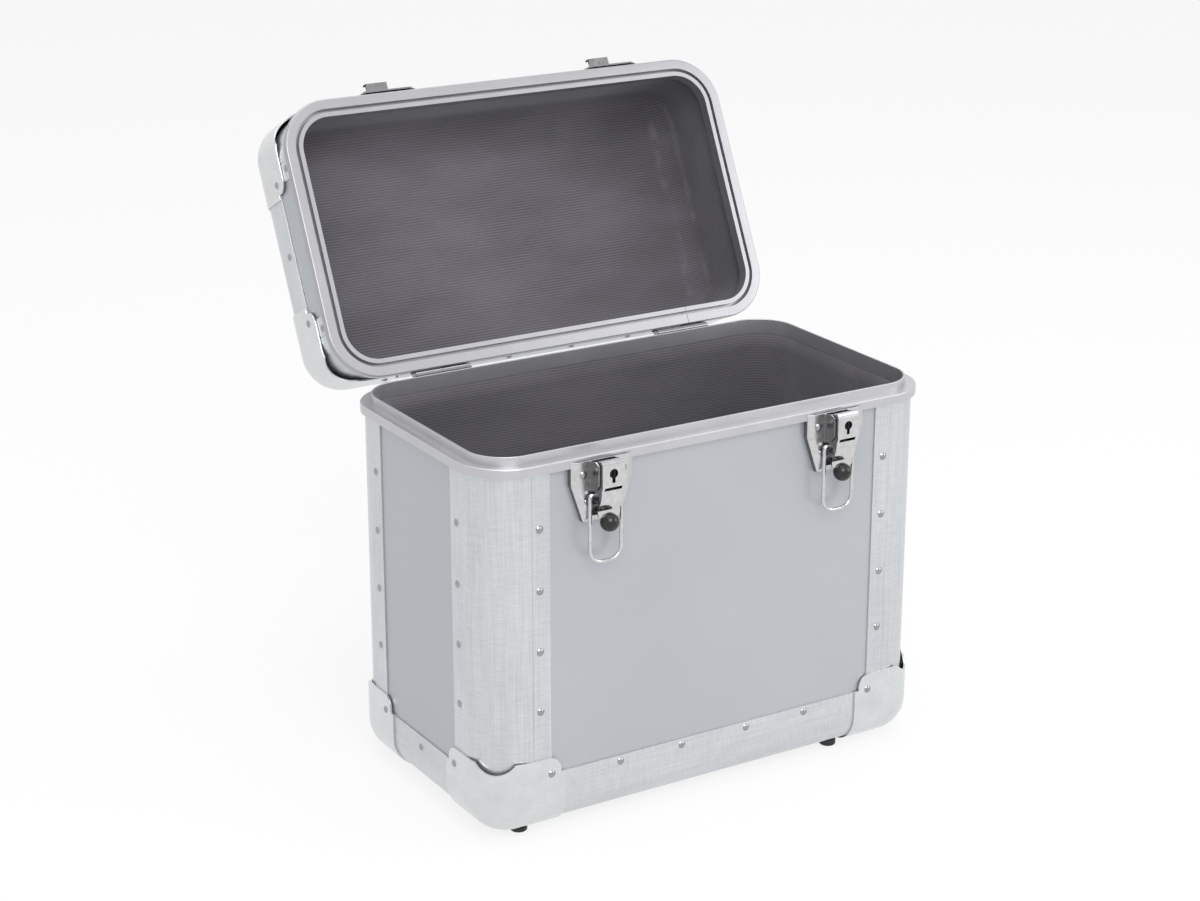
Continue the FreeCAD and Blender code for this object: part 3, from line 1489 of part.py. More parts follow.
def build_lid(cap, short):
    catch_holes = [(x, "lid_height - catch_rivet_rise") for x in across_places(LATCH_SIDE, "catch_rivet_side")]
    hinge_holes = [(x, "lid_height - hinge_rivet_reach") for x in across_places(HINGE_SIDE, "hinge_rivet_side")]
    extra = {"back": [(catch_holes, RIVET_HOLE)], "front": [(hinge_holes, RIVET_HOLE)]}
    long = edge_extrusion("lid_edge_master", "front")
    edges = {"front": long, "back": long, "right": short, "left": short}
    for face in FACES:
        lid_face = {"front": "back", "back": "front"}.get(face, face)
        panel("lid_%s_panel" % lid_face, face, True, extra.get(face, ()))
        placed("lid_%s_edge_profile" % lid_face, edges[face], edge_place(face, LID_SEAT))
    handle_holes = [
        ("%d * bracket_middle + %d * bracket_rivet_side" % (i, j), "%d * bracket_rivet_length" % k)
        for i in EDGE_SIDES
        for j in EDGE_SIDES
        for k in EDGE_SIDES
    ]
    flat_panel("lid_top_panel", True, [(handle_holes, RIVET_HOLE)])
    upright = corner_extrusion("lid_corner_master", True)
    for corner in CORNERS:
        placed("lid_%s_profile" % flipped_corner(corner), upright, corner_place(corner, LID_SEAT))
        placed("lid_%s_cap" % flipped_corner(corner), cap, corner_place(corner, LID_SEAT))
    lid_rim()
    lining("lid_lining", True)


def build_fittings():
    base, lever, tip, bail, lock = latch_base(), latch_lever(), lever_tip(), latch_bail(), latch_lock()
    for side, name in ((-1, "left"), (1, "right")):
        pieces = (("base", base), ("lever", lever), ("lever_tip", tip), ("bail", bail), ("lock_plate", lock))
        for piece, master in pieces:
            placed("%s_latch_%s" % (name, piece), master, latch_place(side))
    reach = "lever_half_width + ear_gap + 1.2 * sheet"
    pin = rod("lever_pin_master", "lever_pin_radius", reach, "lever_pin_out", "-lever_pin_drop")
    repeated("latch_pins", [(pin, latch_place(side)) for side in EDGE_SIDES])
    catch = lid_catch()
    for side, name in ((-1, "left"), (1, "right")):
        placed("%s_catch" % name, catch, latch_place(side, lid=True))
    body_leaf, lid_leaf = hinge_leaf("body_leaf_master", False), hinge_leaf("lid_leaf_master", True)
    repeated("hinge_body_leaves", [(body_leaf, hinge_place(side)) for side in EDGE_SIDES])
    repeated("hinge_lid_leaves", [(lid_leaf, hinge_place(side, lid=True)) for side in EDGE_SIDES])
    across = Placement(shifted("0 * sheet", "0 - " + PIN_OUT, "hinge_pin_rise"), Rotation(Vector(0, 1, 0), 90))
    hinge_pins = [(hinge_pin(), hinge_place(side).multiply(across)) for side in EDGE_SIDES]
    repeated("hinge_pins", hinge_pins)


def build_handle():
    # the top panel's outer face, seen from outside the lid
    closed = Placement(shifted("0 * sheet", "0 * sheet", "%s - %s" % (TOP, PANEL_FACE)), Rotation())
    face = LID_OPEN.multiply(closed)
    swing = Rotation(Vector(1, 0, 0), number("handle_rest_angle"))
    lifted = Placement(shifted("0 * sheet", "0 * sheet", "handle_axis_rise"), swing)
    placed("handle_rod", handle_rod(), face.multiply(lifted))
    placed("handle_grip", handle_grip(), face.multiply(lifted))
    bracket = handle_bracket()
    places = [face.multiply(Placement(shifted("%d * bracket_middle" % side), Rotation())) for side in EDGE_SIDES]
    repeated("handle_brackets", [(bracket, place) for place in places])
    return face


def build_rivets_and_feet(roof):
    def rivet(name, length, head="rivet_head / 2", dome="rivet_dome", shank="rivet_shank / 2"):
        return rivet_master(name, head, dome, shank, length)

    plain = rivet("frame_rivet", RIVET_LENGTH)
    long = rivet("cap_rivet", "%s + %s" % (RIVET_LENGTH, CAP_FACE))
    fitting_length = "rim_overhang + pressing_face + " + RIVET_LENGTH
    fitting = rivet("fitting_rivet", fitting_length)
    head, shank = "small_rivet_head / 2", "small_rivet_shank / 2"
    small = rivet("small_rivet", fitting_length, head, "small_rivet_dome", shank)
    leaf = rivet("leaf_rivet", RIVET_LENGTH + " - skin + sheet")
    plate = rivet("plate_rivet", "bracket_plate + %s - skin" % RIVET_LENGTH)
    leaf_out = "(%s + panel_fit + sheet)" % PANEL_OUT
    body = frame_rivet_places(False, plain, long)
    for x in across_places(LATCH_SIDE, "big_rivet_side"):
        body.append((fitting, seam_place("front", x, "pressing_face", "-big_rivet_drop")))
    for x in across_places(LATCH_SIDE, "small_rivet_side"):
        body.append((small, seam_place("front", x, "pressing_face", "-small_rivet_drop")))
    for x in across_places(HINGE_SIDE, "hinge_rivet_side"):
        body.append((leaf, seam_place("back", x, leaf_out, "-hinge_rivet_reach")))
    repeated("body_rivets", body)
    lid = frame_rivet_places(True, plain, long)
    for x in across_places(LATCH_SIDE, "catch_rivet_side"):
        lid.append((fitting, LID_OPEN.multiply(seam_place("front", x, "pressing_face", "catch_rivet_rise"))))
    for x in across_places(HINGE_SIDE, "hinge_rivet_side"):
        lid.append((leaf, LID_OPEN.multiply(seam_place("back", x, leaf_out, "hinge_rivet_reach"))))
    for x in across_places("bracket_middle", "bracket_rivet_side"):
        for side in EDGE_SIDES:
            end = "%d * bracket_rivet_length" % side
            local = Placement(shifted(x, end, "panel_fit + bracket_plate"), Rotation())
            lid.append((plate, roof.multiply(local)))
    repeated("lid_rivets", lid)
    right = foot_master("foot_right_master", "(foot_height - panel_fit)")
    left = foot_master("foot_left_master", "(foot_height - %s - panel_fit)" % CAP_FACE)
    feet = []
    for side in EDGE_SIDES:
        y = "%d * foot_spacing / 2" % side
        feet.append((right, Placement(shifted(FOOT_RIGHT, y), Rotation())))
        feet.append((left, Placement(shifted("-" + FOOT_LEFT, y), Rotation())))
    repeated("feet", feet)


build_lid(*build_box())
build_fittings()
build_rivets_and_feet(build_handle())
doc.recompute()
for item in doc.Objects:
    if "Invalid" in item.State or "Error" in item.State:
        raise ValueError("%s did not build: %s" % (item.Name, item.State))
os.makedirs("parts", exist_ok=True)
for item in nodes:
    shape = item.Shape
    if shape.isNull() or not shape.isValid():
        raise ValueError("%s has no sound shape" % item.Label)
    shape.exportStep(os.path.join("parts", item.Label + ".step"))
    box = shape.BoundBox
    print(item.Label, len(shape.Solids), round(shape.Volume), [round(v, 1) for v in (
        box.XMin, box.XMax, box.YMin, box.YMax, box.ZMin, box.ZMax)])
print(len(nodes), "nodes")
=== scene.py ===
import json
import math

import bmesh
import bpy
from mathutils import Matrix, Vector, noise


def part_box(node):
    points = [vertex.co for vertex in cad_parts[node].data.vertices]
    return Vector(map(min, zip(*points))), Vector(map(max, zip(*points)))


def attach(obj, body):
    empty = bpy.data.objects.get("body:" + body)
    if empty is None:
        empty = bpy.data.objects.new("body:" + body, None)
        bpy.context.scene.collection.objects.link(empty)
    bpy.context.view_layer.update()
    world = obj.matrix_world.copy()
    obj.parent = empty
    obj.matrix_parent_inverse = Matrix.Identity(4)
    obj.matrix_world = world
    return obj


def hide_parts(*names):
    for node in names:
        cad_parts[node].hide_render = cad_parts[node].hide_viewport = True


bl_info = {
    "name": "Record Carrying Case",
    "version": (1, 0, 0),
    "blender": (4, 5, 0),
    "location": "View3D > Sidebar > Record Case",
    "description": "Dresses the record carrying case: finishes, edges, linings, latches and handle",
    "category": "Object",
}

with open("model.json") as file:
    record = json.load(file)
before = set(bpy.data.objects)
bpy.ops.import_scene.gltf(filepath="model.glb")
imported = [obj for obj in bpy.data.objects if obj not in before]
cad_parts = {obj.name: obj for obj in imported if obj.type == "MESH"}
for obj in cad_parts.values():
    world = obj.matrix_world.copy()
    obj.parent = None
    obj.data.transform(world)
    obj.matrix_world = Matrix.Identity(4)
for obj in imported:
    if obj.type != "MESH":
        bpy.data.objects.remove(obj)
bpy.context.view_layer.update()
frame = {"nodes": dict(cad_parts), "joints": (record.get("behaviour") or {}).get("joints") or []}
NODES = frame["nodes"]
MM = 0.001

HINGE = [joint for joint in frame["joints"] if joint["name"] == "lid_hinge"][0]
OPEN_TURN = math.radians(HINGE["range_deg"][1])
HINGE_AT = Matrix.Translation(Vector(HINGE["pos_m"]))
LID_OPEN = HINGE_AT @ Matrix.Rotation(-OPEN_TURN, 4, "X") @ HINGE_AT.inverted()
LID_CLOSED = LID_OPEN.inverted()

WALLS = ("front", "back", "left", "right")
CORNERS = ("front_left", "front_right", "back_left", "back_right")
SIDES = ("left", "right")
HALVES = (("body", "case"), ("lid", "lid"))


# Fixed sizes and counts


# meshes: how near points count as one, and angles in degrees
WELD = MM / 1000
FLAT_WITHIN = 0.5
SHARP = 30
SMOOTH = 30
LATCH_SMOOTH = 18
RIM_SMOOTH = 25
GRIP_SMOOTH = 40
CLOTH_SMOOTH = 60
SOFT_SEGMENTS = 2

# faces get painted shade from the first share of their normal's X, and the full painted shade at
# the second
SIDE_SHADE_FROM = 0.4
SIDE_SHADE_FULL = 0.9

# linings: rounded corners and folds, the cloth's cells, its share of the room, its low puckers,
# which fade towards the mouth, and the lines of painted highlight along its folds, at tilts in
# degrees
LINING_CORNER = 28.0 * MM
CORNER_SEGMENTS = 10
LINING_FOLD = 18.5 * MM
FOLD_SEGMENTS = 6
CLOTH_STEP = 12.0 * MM
CLOTH_WELD = MM / 20
CLOTH_NEAR = MM / 10
CLOTH_FILL = 0.8
PUCKERS = 16.0
FINE_PUCKERS = 3
PUCKER_FADE = 20.0 * MM
HIGHLIGHT_TILTS = (17, 72)
HIGHLIGHT_HALF = 8

# the lid rim's butt joint, on the hinge side
BUTT_PLACE = 108.9 * MM
BUTT_GAP = 0.3 * MM
BUTT_DEPTH = 20.0 * MM

# handle grip: the ribs take up a share of its length, the shoulders' turns are in degrees, and
# each rib is four points, as shares of the pitch and of the rib's depth
GRIP_RIBS = 15
GRIP_RIBBED = 0.8
GRIP_BORE = 3.1 * MM
GRIP_ROUND = 2.5 * MM
GRIP_TURNS = (30, 60, 90)
GRIP_STEPS = 48
RIB_PROFILE = ((0.0, 0.0), (0.2, 1.0), (0.4, 1.0), (0.6, 0.0))

# how far an edge or a face leans one way before it counts as upright, an end wall or level
UPRIGHT_FROM = 0.9
END_FROM = 0.3
LEVEL_FROM = 0.75

# brushing marks are this many times as long as wide, and a Wave node has this many bands to 2 pi
MARK_LENGTH = 150
WAVE_BANDS = 20

# sockets of a Mix node that mixes colours
MIX_A, MIX_B, MIX_RESULT = 6, 7, 2

# studio: each lamp's place and width, what they look at, and the floor's finish
LAMPS = (
    ("key", (-0.75, -2.0, 1.95), 1.6),
    ("fill", (1.9, -1.5, 1.1), 1.4),
    ("top", (0.1, 0.2, 2.3), 1.8),
)
AIM = Vector((0, 0, 0.22))
FLOOR_GLOW = 0.8
FLOOR_ROUGH = 0.9
WHITE = (1, 1, 1, 1)


# What a user would change


def number(name, description, default, **limits):
    """A number that isn't negative unless its limits say otherwise."""
    return bpy.props.FloatProperty(
        name=name, description=description, default=default, **{"min": 0, **limits}
    )


def length(name, description, default):
    """A length in metres."""
    return number(name, description, default, precision=5, subtype="DISTANCE", unit="LENGTH")


def colour(name, description, default):
    """A colour of three shares."""
    return bpy.props.FloatVectorProperty(
        name=name,
        description=description,
        default=default,
        size=3,
        min=0,
        max=1,
        subtype="COLOR",
    )


class CaseFinish(bpy.types.PropertyGroup):
    """Colours and surface sizes of the case."""

    board: colour("Board", "Silver-grey face of the panels", (0.447, 0.467, 0.494))
    extrusion: colour("Extrusion", "Brushed corner and edge extrusions", (0.60, 0.62, 0.635))
    cap: colour("Cap", "Pressed corner caps", (0.66, 0.68, 0.69))
    rim: colour("Rim", "Satin rim of the box", (0.53, 0.53, 0.55))
    # painted shade: the lid's rim is the same satin aluminium as the box's rim, painted darker
    rim_lid: colour("Lid rim", "Satin rim of the lid", (0.40, 0.40, 0.42))
    textile: colour("Textile", "Grey woven lining of the box", (0.105, 0.10, 0.115))
    # painted light: the lid's lining is the same cloth as the box's, painted about a tenth lighter
    textile_lid: colour("Lid lining", "Ribbed grey cloth of the lid", (0.118, 0.112, 0.129))
    plate: colour("Plate", "Nickel plate of the latches and the handle", (0.62, 0.62, 0.63))
    # painted shade: the catches and hinges get the nickel plate at about half its brightness
    painted_shade_plate: colour("Catch plate", "Duller plate of the catches and hinges", (0.30, 0.30, 0.31))
    # painted shade: the share of a plate's colour kept on faces that look sideways
    aside: number("Aside", "Share of a plate's colour left on faces that look aside", 0.3, max=1)
    # painted dark reflection: the rivets and pins are the nickel plate darkened, standing for the
    # dark surroundings they mirror
    rivet: colour("Rivets", "Steel of the rivets and pins", (0.36, 0.36, 0.38))
    # painted shade: the lock plates behind the keyholes are near black, standing for the shade
    # inside the keyhole and slot
    lock: colour("Lock", "Blackened steel of the lock plates", (0.03, 0.03, 0.032))
    ball: colour("Ball", "Glossy black of the lever tips", (0.008, 0.008, 0.009))
    rubber: colour("Rubber", "Black rubber of the feet", (0.012, 0.012, 0.013))
    grip: colour("Grip", "Moulded handle grip", (0.018, 0.018, 0.02))
    rib: length("Rib", "Distance between the ribs of the lining", 0.0021)
    streak: length("Streak", "Width of the brushing marks", 0.0004)


class CaseShape(bpy.types.PropertyGroup):
    """Edge and relief sizes of the case."""

    pressed_edge: length("Pressed edge", "Rounding of the pressed fittings", 0.00025)
    extruded_edge: length("Extruded edge", "Rounding of the extrusions", 0.0002)
    cap_edge: length("Cap edge", "Rounding of the caps' edges", 0.0004)
    cloth: length("Cloth", "Thickness of the lining", 0.0005)
    pucker: length("Pucker", "How far the lining stands off the walls", 0.0007)
    grip_rib: length("Grip rib", "Height of the ribs on the grip", 0.0006)


class CaseStage(bpy.types.PropertyGroup):
    """Floor, light and camera."""

    floor: colour("Floor", "Pale floor", (0.9, 0.9, 0.9))
    floor_width: length("Floor width", "Width of the floor", 12.0)
    key: number("Key", "Power of the soft key light in watts", 34)
    fill: number("Fill", "Power of the soft fill light in watts", 12)
    top: number("Top", "Power of the overhead light in watts", 16)
    sky: number("Sky", "Strength of the even light", 0.62)
    lens: number("Lens", "Focal length in millimetres", 77.7, min=1)
    camera_place: bpy.props.FloatVectorProperty(
        name="Camera place",
        description="Where the camera stands",
        default=(-0.92878, -1.534655, 0.82576),
        size=3,
        subtype="TRANSLATION",
        unit="LENGTH",
    )
    camera_turn: bpy.props.FloatVectorProperty(
        name="Camera turn",
        description="How the camera is turned",
        default=(math.radians(70.92), 0, math.radians(-31.41)),
        size=3,
        subtype="EULER",
    )


def finish():
    """The colours and surface sizes in use."""
    return bpy.context.scene.case_finish


def shape():
    """The edge and relief sizes in use."""
    return bpy.context.scene.case_shape


# Materials


class Recipe:
    """Builds one node material, a step at a time."""

    def __init__(self, name, lid=False):
        self.material = bpy.data.materials.new(name)
        self.material.use_nodes = True
        self.tree = self.material.node_tree
        self.shader = self.tree.nodes["Principled BSDF"]
        self.turn = OPEN_TURN if lid else 0.0
        self.object = self.add("ShaderNodeTexCoord").outputs["Object"]

    def add(self, kind, **settings):
        """A new node with its settings."""
        node = self.tree.nodes.new(kind)
        for key, value in settings.items():
            setattr(node, key, value)
        return node

    def feed(self, socket, value):
        """Set a socket to a number or a tuple, or link another node's output to it."""
        if isinstance(value, (int, float, tuple)):
            socket.default_value = value
        else:
            self.tree.links.new(value, socket)

    def place(self, scale):
        """Object coordinates, the lid's turned shut, stretched by a scale for each axis."""
        turned = self.add("ShaderNodeMapping")
        self.feed(turned.inputs["Vector"], self.object)
        turned.inputs["Rotation"].default_value = (self.turn, 0, 0)
        sized = self.add("ShaderNodeMapping")
        self.feed(sized.inputs["Vector"], turned.outputs["Vector"])
        sized.inputs["Scale"].default_value = scale
        return sized.outputs["Vector"]

    def noise(self, scale, detail=2.0, roughness=0.5):
        """Noise from 0 to 1 with this many marks to the metre, or one such number for each axis."""
        node = self.add("ShaderNodeTexNoise")
        each = scale if isinstance(scale, tuple) else (scale, scale, scale)
        self.feed(node.inputs["Vector"], self.place(each))
        node.inputs["Scale"].default_value = 1.0
        node.inputs["Detail"].default_value = detail
        node.inputs["Roughness"].default_value = roughness
        return node.outputs["Fac"]

    def range(self, value, low, high, start=0.3, end=0.7):
        """The value, brought from its own start and end to a low and a high."""
        node = self.add("ShaderNodeMapRange")
        sockets = ("From Min", start), ("From Max", end), ("To Min", low), ("To Max", high)
        for name, setting in sockets:
            node.inputs[name].default_value = setting
        self.feed(node.inputs["Value"], value)
        return node.outputs["Result"]

    def math(self, operation, first, second):
        """The result of one Math node."""
        node = self.add("ShaderNodeMath", operation=operation)
        self.feed(node.inputs[0], first)
        self.feed(node.inputs[1], second)
        return node.outputs["Value"]

    def shade(self, base, amount):
        """Colour the surface with the base colour times an amount."""
        node = self.add("ShaderNodeMix", data_type="RGBA", blend_type="MULTIPLY")
        node.inputs[0].default_value = 1.0
        node.inputs[MIX_A].default_value = (*base, 1)
        self.feed(node.inputs[MIX_B], amount)
        self.feed(self.shader.inputs["Base Color"], node.outputs[MIX_RESULT])

    def rough(self, value):
        """Set or link the roughness."""
        self.feed(self.shader.inputs["Roughness"], value)

    def bump(self, height, depth, strength):
        """Raise the surface by a height whose full range is the depth in metres."""
        node = self.add("ShaderNodeBump")
        node.inputs["Strength"].default_value = strength
        node.inputs["Distance"].default_value = depth
        self.feed(node.inputs["Height"], height)
        self.feed(self.shader.inputs["Normal"], node.outputs["Normal"])

    def set(self, **values):
        """Set the shader's plain values and return the material."""
        for key, value in values.items():
            self.shader.inputs[key.replace("_", " ")].default_value = value
        return self.material


def board(lid):
    """Satin silver-grey laminate: a fine grain under broad soft changes of tone."""
    mix = Recipe("board_lid" if lid else "board", lid)
    grain = mix.noise(2400.0, 3)
    cloud = mix.noise(6.0)
    tone = mix.math("ADD", mix.range(grain, -0.012, 0.012), mix.range(cloud, 0.97, 1.03))
    mix.shade(tuple(finish().board), tone)
    mix.rough(mix.range(cloud, 0.34, 0.42))
    mix.bump(grain, 0.00002, 0.4)
    return mix.set(Metallic=0.5)


def brushed(axis, lid):
    """Extruded aluminium: long fine marks along the bar, faint marks across it and a soft cloud."""

    def marks(along, across):
        return tuple(along if name == axis else across for name in "xyz")

    mix = Recipe("brushed_%s%s" % (axis, "_lid" if lid else ""), lid)
    fine = 1 / finish().streak
    long_marks = mix.noise(marks(fine / MARK_LENGTH, fine), 4, 0.7)
    cross_marks = mix.noise(marks(1500.0, 110.0), 2)
    cloud = mix.noise(marks(10.0, 45.0), 3)
    streaks = mix.math(
        "ADD", mix.range(long_marks, -0.15, 0.15), mix.range(cross_marks, -0.06, 0.06)
    )
    mix.shade(tuple(finish().extrusion), mix.math("ADD", streaks, mix.range(cloud, 0.95, 1.05)))
    mix.rough(mix.range(long_marks, 0.30, 0.44))
    height = mix.math("ADD", long_marks, mix.math("MULTIPLY", cross_marks, 0.4))
    mix.bump(height, 0.00006, 0.5)
    return mix.set(Metallic=0.85)


def pressed():
    """Smooth drawn aluminium with a faint cloud."""
    mix = Recipe("pressed_cap")
    cloud = mix.noise(70.0, 3)
    fine = mix.noise(1100.0, 2)
    tone = mix.math("ADD", mix.range(cloud, 0.94, 1.04), mix.range(fine, -0.02, 0.02))
    mix.shade(tuple(finish().cap), tone)
    mix.rough(mix.range(cloud, 0.20, 0.32))
    mix.bump(fine, 0.00002, 0.5)
    return mix.set(Metallic=0.9)


def rim_metal(name, base):
    """Satin anodised rim with a fine even grain."""
    mix = Recipe(name)
    grain = mix.noise(1700.0, 3)
    cloud = mix.noise(35.0)
    tone = mix.math("ADD", mix.range(grain, -0.03, 0.03), mix.range(cloud, 0.97, 1.03))
    mix.shade(tuple(base), tone)
    mix.rough(mix.range(grain, 0.28, 0.40))
    mix.bump(grain, 0.00003, 0.4)
    return mix.set(Metallic=0.8)


def ribs(mix, flat, direction, pitch, waver):
    """Even ribs across one direction of the flat cloth, a little uneven by the waver."""
    wave = mix.add("ShaderNodeTexWave", wave_type="BANDS", bands_direction=direction)
    mix.feed(wave.inputs["Vector"], flat)
    wave.inputs["Scale"].default_value = math.tau / WAVE_BANDS / pitch
    wave.inputs["Distortion"].default_value = waver
    wave.inputs["Detail"].default_value = 2.0
    wave.inputs["Detail Scale"].default_value = 3.0
    return wave.outputs["Fac"]


def textile(lid):
    """Ribbed grey cloth: close ribs along the piece, a finer warp, fuzz, painted fold highlights.
    """
    mix = Recipe("textile_lid" if lid else "textile", lid)
    flat = mix.add("ShaderNodeUVMap", uv_map="cloth").outputs["UV"]
    rub = mix.add("ShaderNodeAttribute", attribute_name="rub").outputs["Fac"]
    weft = ribs(mix, flat, "Y", finish().rib, 0.5)
    warp = ribs(mix, flat, "X", finish().rib / 2, 0.8)
    fuzz = mix.noise(1700.0, 3, 0.7)
    patch = mix.noise((7.0, 16.0, 16.0), 5)
    height = mix.math("ADD", mix.math("MULTIPLY", weft, 0.6), mix.math("MULTIPLY", warp, 0.25))
    height = mix.math("ADD", height, mix.math("MULTIPLY", fuzz, 0.5))
    tone = mix.math("ADD", mix.range(height, 0.74, 1.28, 0.3, 1.1), mix.range(patch, -0.26, 0.26))
    # painted highlight: lighter patchy lines along the end walls' folds
    fold_highlight_patches = mix.math("MULTIPLY", rub, mix.range(mix.noise(60.0, 3), 0.0, 1.0, 0.45, 0.62))
    # painted light: the lid's cloth takes the lighter copy of the lining's colour
    base = finish().textile_lid if lid else finish().textile
    mix.shade(tuple(base), mix.math("ADD", tone, mix.math("MULTIPLY", fold_highlight_patches, 0.32)))
    mix.bump(height, 0.0002, 0.6)
    return mix.set(Roughness=0.9, Sheen_Weight=0.3, Sheen_Roughness=0.5)


def plated(name="plate", low=0.06, high=0.14, base=None, edge_tint=1.0):
    """Bright nickel plate with a faint haze, and painted shade on the faces of a piece that look
    sideways.
    """
    mix = Recipe(name)
    haze = mix.noise(300.0, 3)
    # painted shade: faces that look sideways keep only a share of the plate's colour
    aside = mix.add("ShaderNodeAttribute", attribute_name="aside").outputs["Fac"]
    left = mix.range(aside, 1.0, finish().aside, 0.0, 1.0)
    mix.shade(
        tuple(base or finish().plate), mix.math("MULTIPLY", mix.range(haze, 0.88, 1.04), left)
    )
    mix.rough(mix.range(haze, low, high))
    return mix.set(Metallic=1.0, Specular_Tint=(edge_tint, edge_tint, edge_tint, 1))


def moulded(name, base, low, high):
    """Black moulding with a fine pebble."""
    mix = Recipe(name)
    pebble = mix.noise(1400.0, 3)
    mix.shade(tuple(base), mix.range(pebble, 0.75, 1.3))
    mix.rough(mix.range(pebble, low, high))
    mix.bump(pebble, 0.00005, 0.5)
    return mix.material


MATERIALS = {
    "board": lambda: board(False),
    "board_lid": lambda: board(True),
    "brushed_x": lambda: brushed("x", False),
    "brushed_y": lambda: brushed("y", False),
    "brushed_z": lambda: brushed("z", False),
    "brushed_x_lid": lambda: brushed("x", True),
    "brushed_y_lid": lambda: brushed("y", True),
    "brushed_z_lid": lambda: brushed("z", True),
    "cap": pressed,
    "rim": lambda: rim_metal("rim", finish().rim),
    # painted shade: a darker copy of the rim's satin for the lid
    "rim_lid": lambda: rim_metal("rim_lid", finish().rim_lid),
    "textile": lambda: textile(False),
    "textile_lid": lambda: textile(True),
    "plate": plated,
    # painted shade: a darker copy of the nickel plate for the catches and hinges
    "plate_dull": lambda: plated("plate_dull", 0.08, 0.2, finish().painted_shade_plate, 0.3),
    # painted dark reflection: a darkened copy of the plate for the rivets and pins
    "rivet": lambda: plated("rivet", 0.10, 0.2, finish().rivet),
    "plate_base": lambda: plated("plate_base", 0.16, 0.26),
    # painted shade: near-black lock plates for the dark inside of the keyholes
    "lock": lambda: plated("lock", 0.35, 0.5, finish().lock),
    "ball": lambda: moulded("ball", finish().ball, 0.14, 0.22),
    "rubber": lambda: moulded("rubber", finish().rubber, 0.45, 0.62),
    "grip": lambda: moulded("grip", finish().grip, 0.38, 0.52),
}
MADE = {}


def material(name):
    """The named material, made when it is first asked for."""
    if name not in MADE:
        MADE[name] = MATERIALS[name]()
    return MADE[name]


# Meshes


def wear(obj, name):
    """Give an object the named material alone."""
    obj.data.materials.clear()
    obj.data.materials.append(material(name))


def piece(name, bm, finish_name, body, smooth_angle):
    """A finished piece from a bmesh, riding on a body, smooth up to an angle in degrees."""
    for face in bm.faces:
        face.smooth = True
    for edge in bm.edges:
        if edge.is_manifold and edge.calc_face_angle(0) > math.radians(smooth_angle):
            edge.smooth = False
    mesh = bpy.data.meshes.new(name)
    bm.to_mesh(mesh)
    bm.free()
    obj = bpy.data.objects.new(name, mesh)
    bpy.context.scene.collection.objects.link(obj)
    wear(obj, finish_name)
    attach(obj, body)
    return obj


def copied(node):
    """A copy of a node's mesh with the points of its edges merged."""
    bm = bmesh.new()
    bm.from_mesh(NODES[node].data)
    bmesh.ops.remove_doubles(bm, verts=bm.verts, dist=WELD)
    return bm


def round_off(bm, edges, radius, segments):
    """Round edges off, and return the faces of the rounding."""
    rounded = bmesh.ops.bevel(
        bm,
        geom=edges,
        offset=radius,
        offset_type="OFFSET",
        affect="EDGES",
        segments=segments,
        profile=0.5,
        material=-1,
        clamp_overlap=True,
    )
    return rounded["faces"]


def softened(node, body, finish_name, radius, smooth_angle=SMOOTH):
    """A piece that stands for a node, with the node's shape and its sharp edges rounded."""
    bm = copied(node)
    bmesh.ops.dissolve_limit(
        bm, angle_limit=math.radians(FLAT_WITHIN), verts=bm.verts, edges=bm.edges
    )
    sharp = math.radians(SHARP)
    edges = [e for e in bm.edges if e.is_manifold and e.calc_face_angle(0) > sharp]
    # flat faces stay flat up to the border of the rounding
    strips = set(round_off(bm, edges, radius, SOFT_SEGMENTS))
    for edge in bm.edges:
        if len({face in strips for face in edge.link_faces}) > 1:
            edge.smooth = False
    # painted shade: how far each face is darkened for looking sideways, read by the plated
    # materials
    aside = bm.faces.layers.float.new("aside")
    for face in bm.faces:
        share = (abs(face.normal.x) - SIDE_SHADE_FROM) / (SIDE_SHADE_FULL - SIDE_SHADE_FROM)
        face[aside] = min(1.0, max(0.0, share))
    obj = piece(node + "_soft", bm, finish_name, body, smooth_angle)
    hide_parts(node)


# Cloth


def bounds_of(bm):
    """The low and high of a mesh along each axis."""
    return [(min(v.co[i] for v in bm.verts), max(v.co[i] for v in bm.verts)) for i in range(3)]


def cut_up(bm, step):
    """Cut a mesh by planes across each axis, so that it can bend."""
    for axis, (low, high) in enumerate(bounds_of(bm)):
        count = int((high - low) / step)
        for i in range(1, count):
            at, normal = Vector(), Vector()
            at[axis] = low + (high - low) * i / count
            normal[axis] = 1.0
            geom = bm.verts[:] + bm.edges[:] + bm.faces[:]
            bmesh.ops.bisect_plane(bm, geom=geom, dist=CLOTH_WELD, plane_co=at, plane_no=normal)


def upright(edge):
    """Whether an edge runs up and down."""
    first, second = edge.verts
    return abs((first.co - second.co).normalized().z) > UPRIGHT_FROM


def at_level(item, level):
    """Whether all points of an edge or face lie at a height."""
    return all(abs(v.co.z - level) < CLOTH_NEAR for v in item.verts)


def lined_box(size, middle, floor, mouth):
    """A box of cloth, round along its inner edges, open at the mouth and facing inward."""
    bm = bmesh.new()
    place = Matrix.Translation(middle) @ Matrix.Diagonal((*size, 1))
    bmesh.ops.create_cube(bm, size=1, matrix=place)
    round_off(bm, [e for e in bm.edges if upright(e)], LINING_CORNER, CORNER_SEGMENTS)
    folds = [e for e in bm.edges if at_level(e, floor)]
    round_off(bm, folds, LINING_FOLD, FOLD_SEGMENTS)
    open_faces = [f for f in bm.faces if at_level(f, mouth)]
    bmesh.ops.delete(bm, geom=open_faces, context="FACES_ONLY")
    cut_up(bm, CLOTH_STEP)
    bmesh.ops.remove_doubles(bm, verts=bm.verts, dist=CLOTH_WELD)
    bmesh.ops.recalc_face_normals(bm, faces=bm.faces)
    bmesh.ops.reverse_faces(bm, faces=bm.faces)
    bm.normal_update()
    return bm


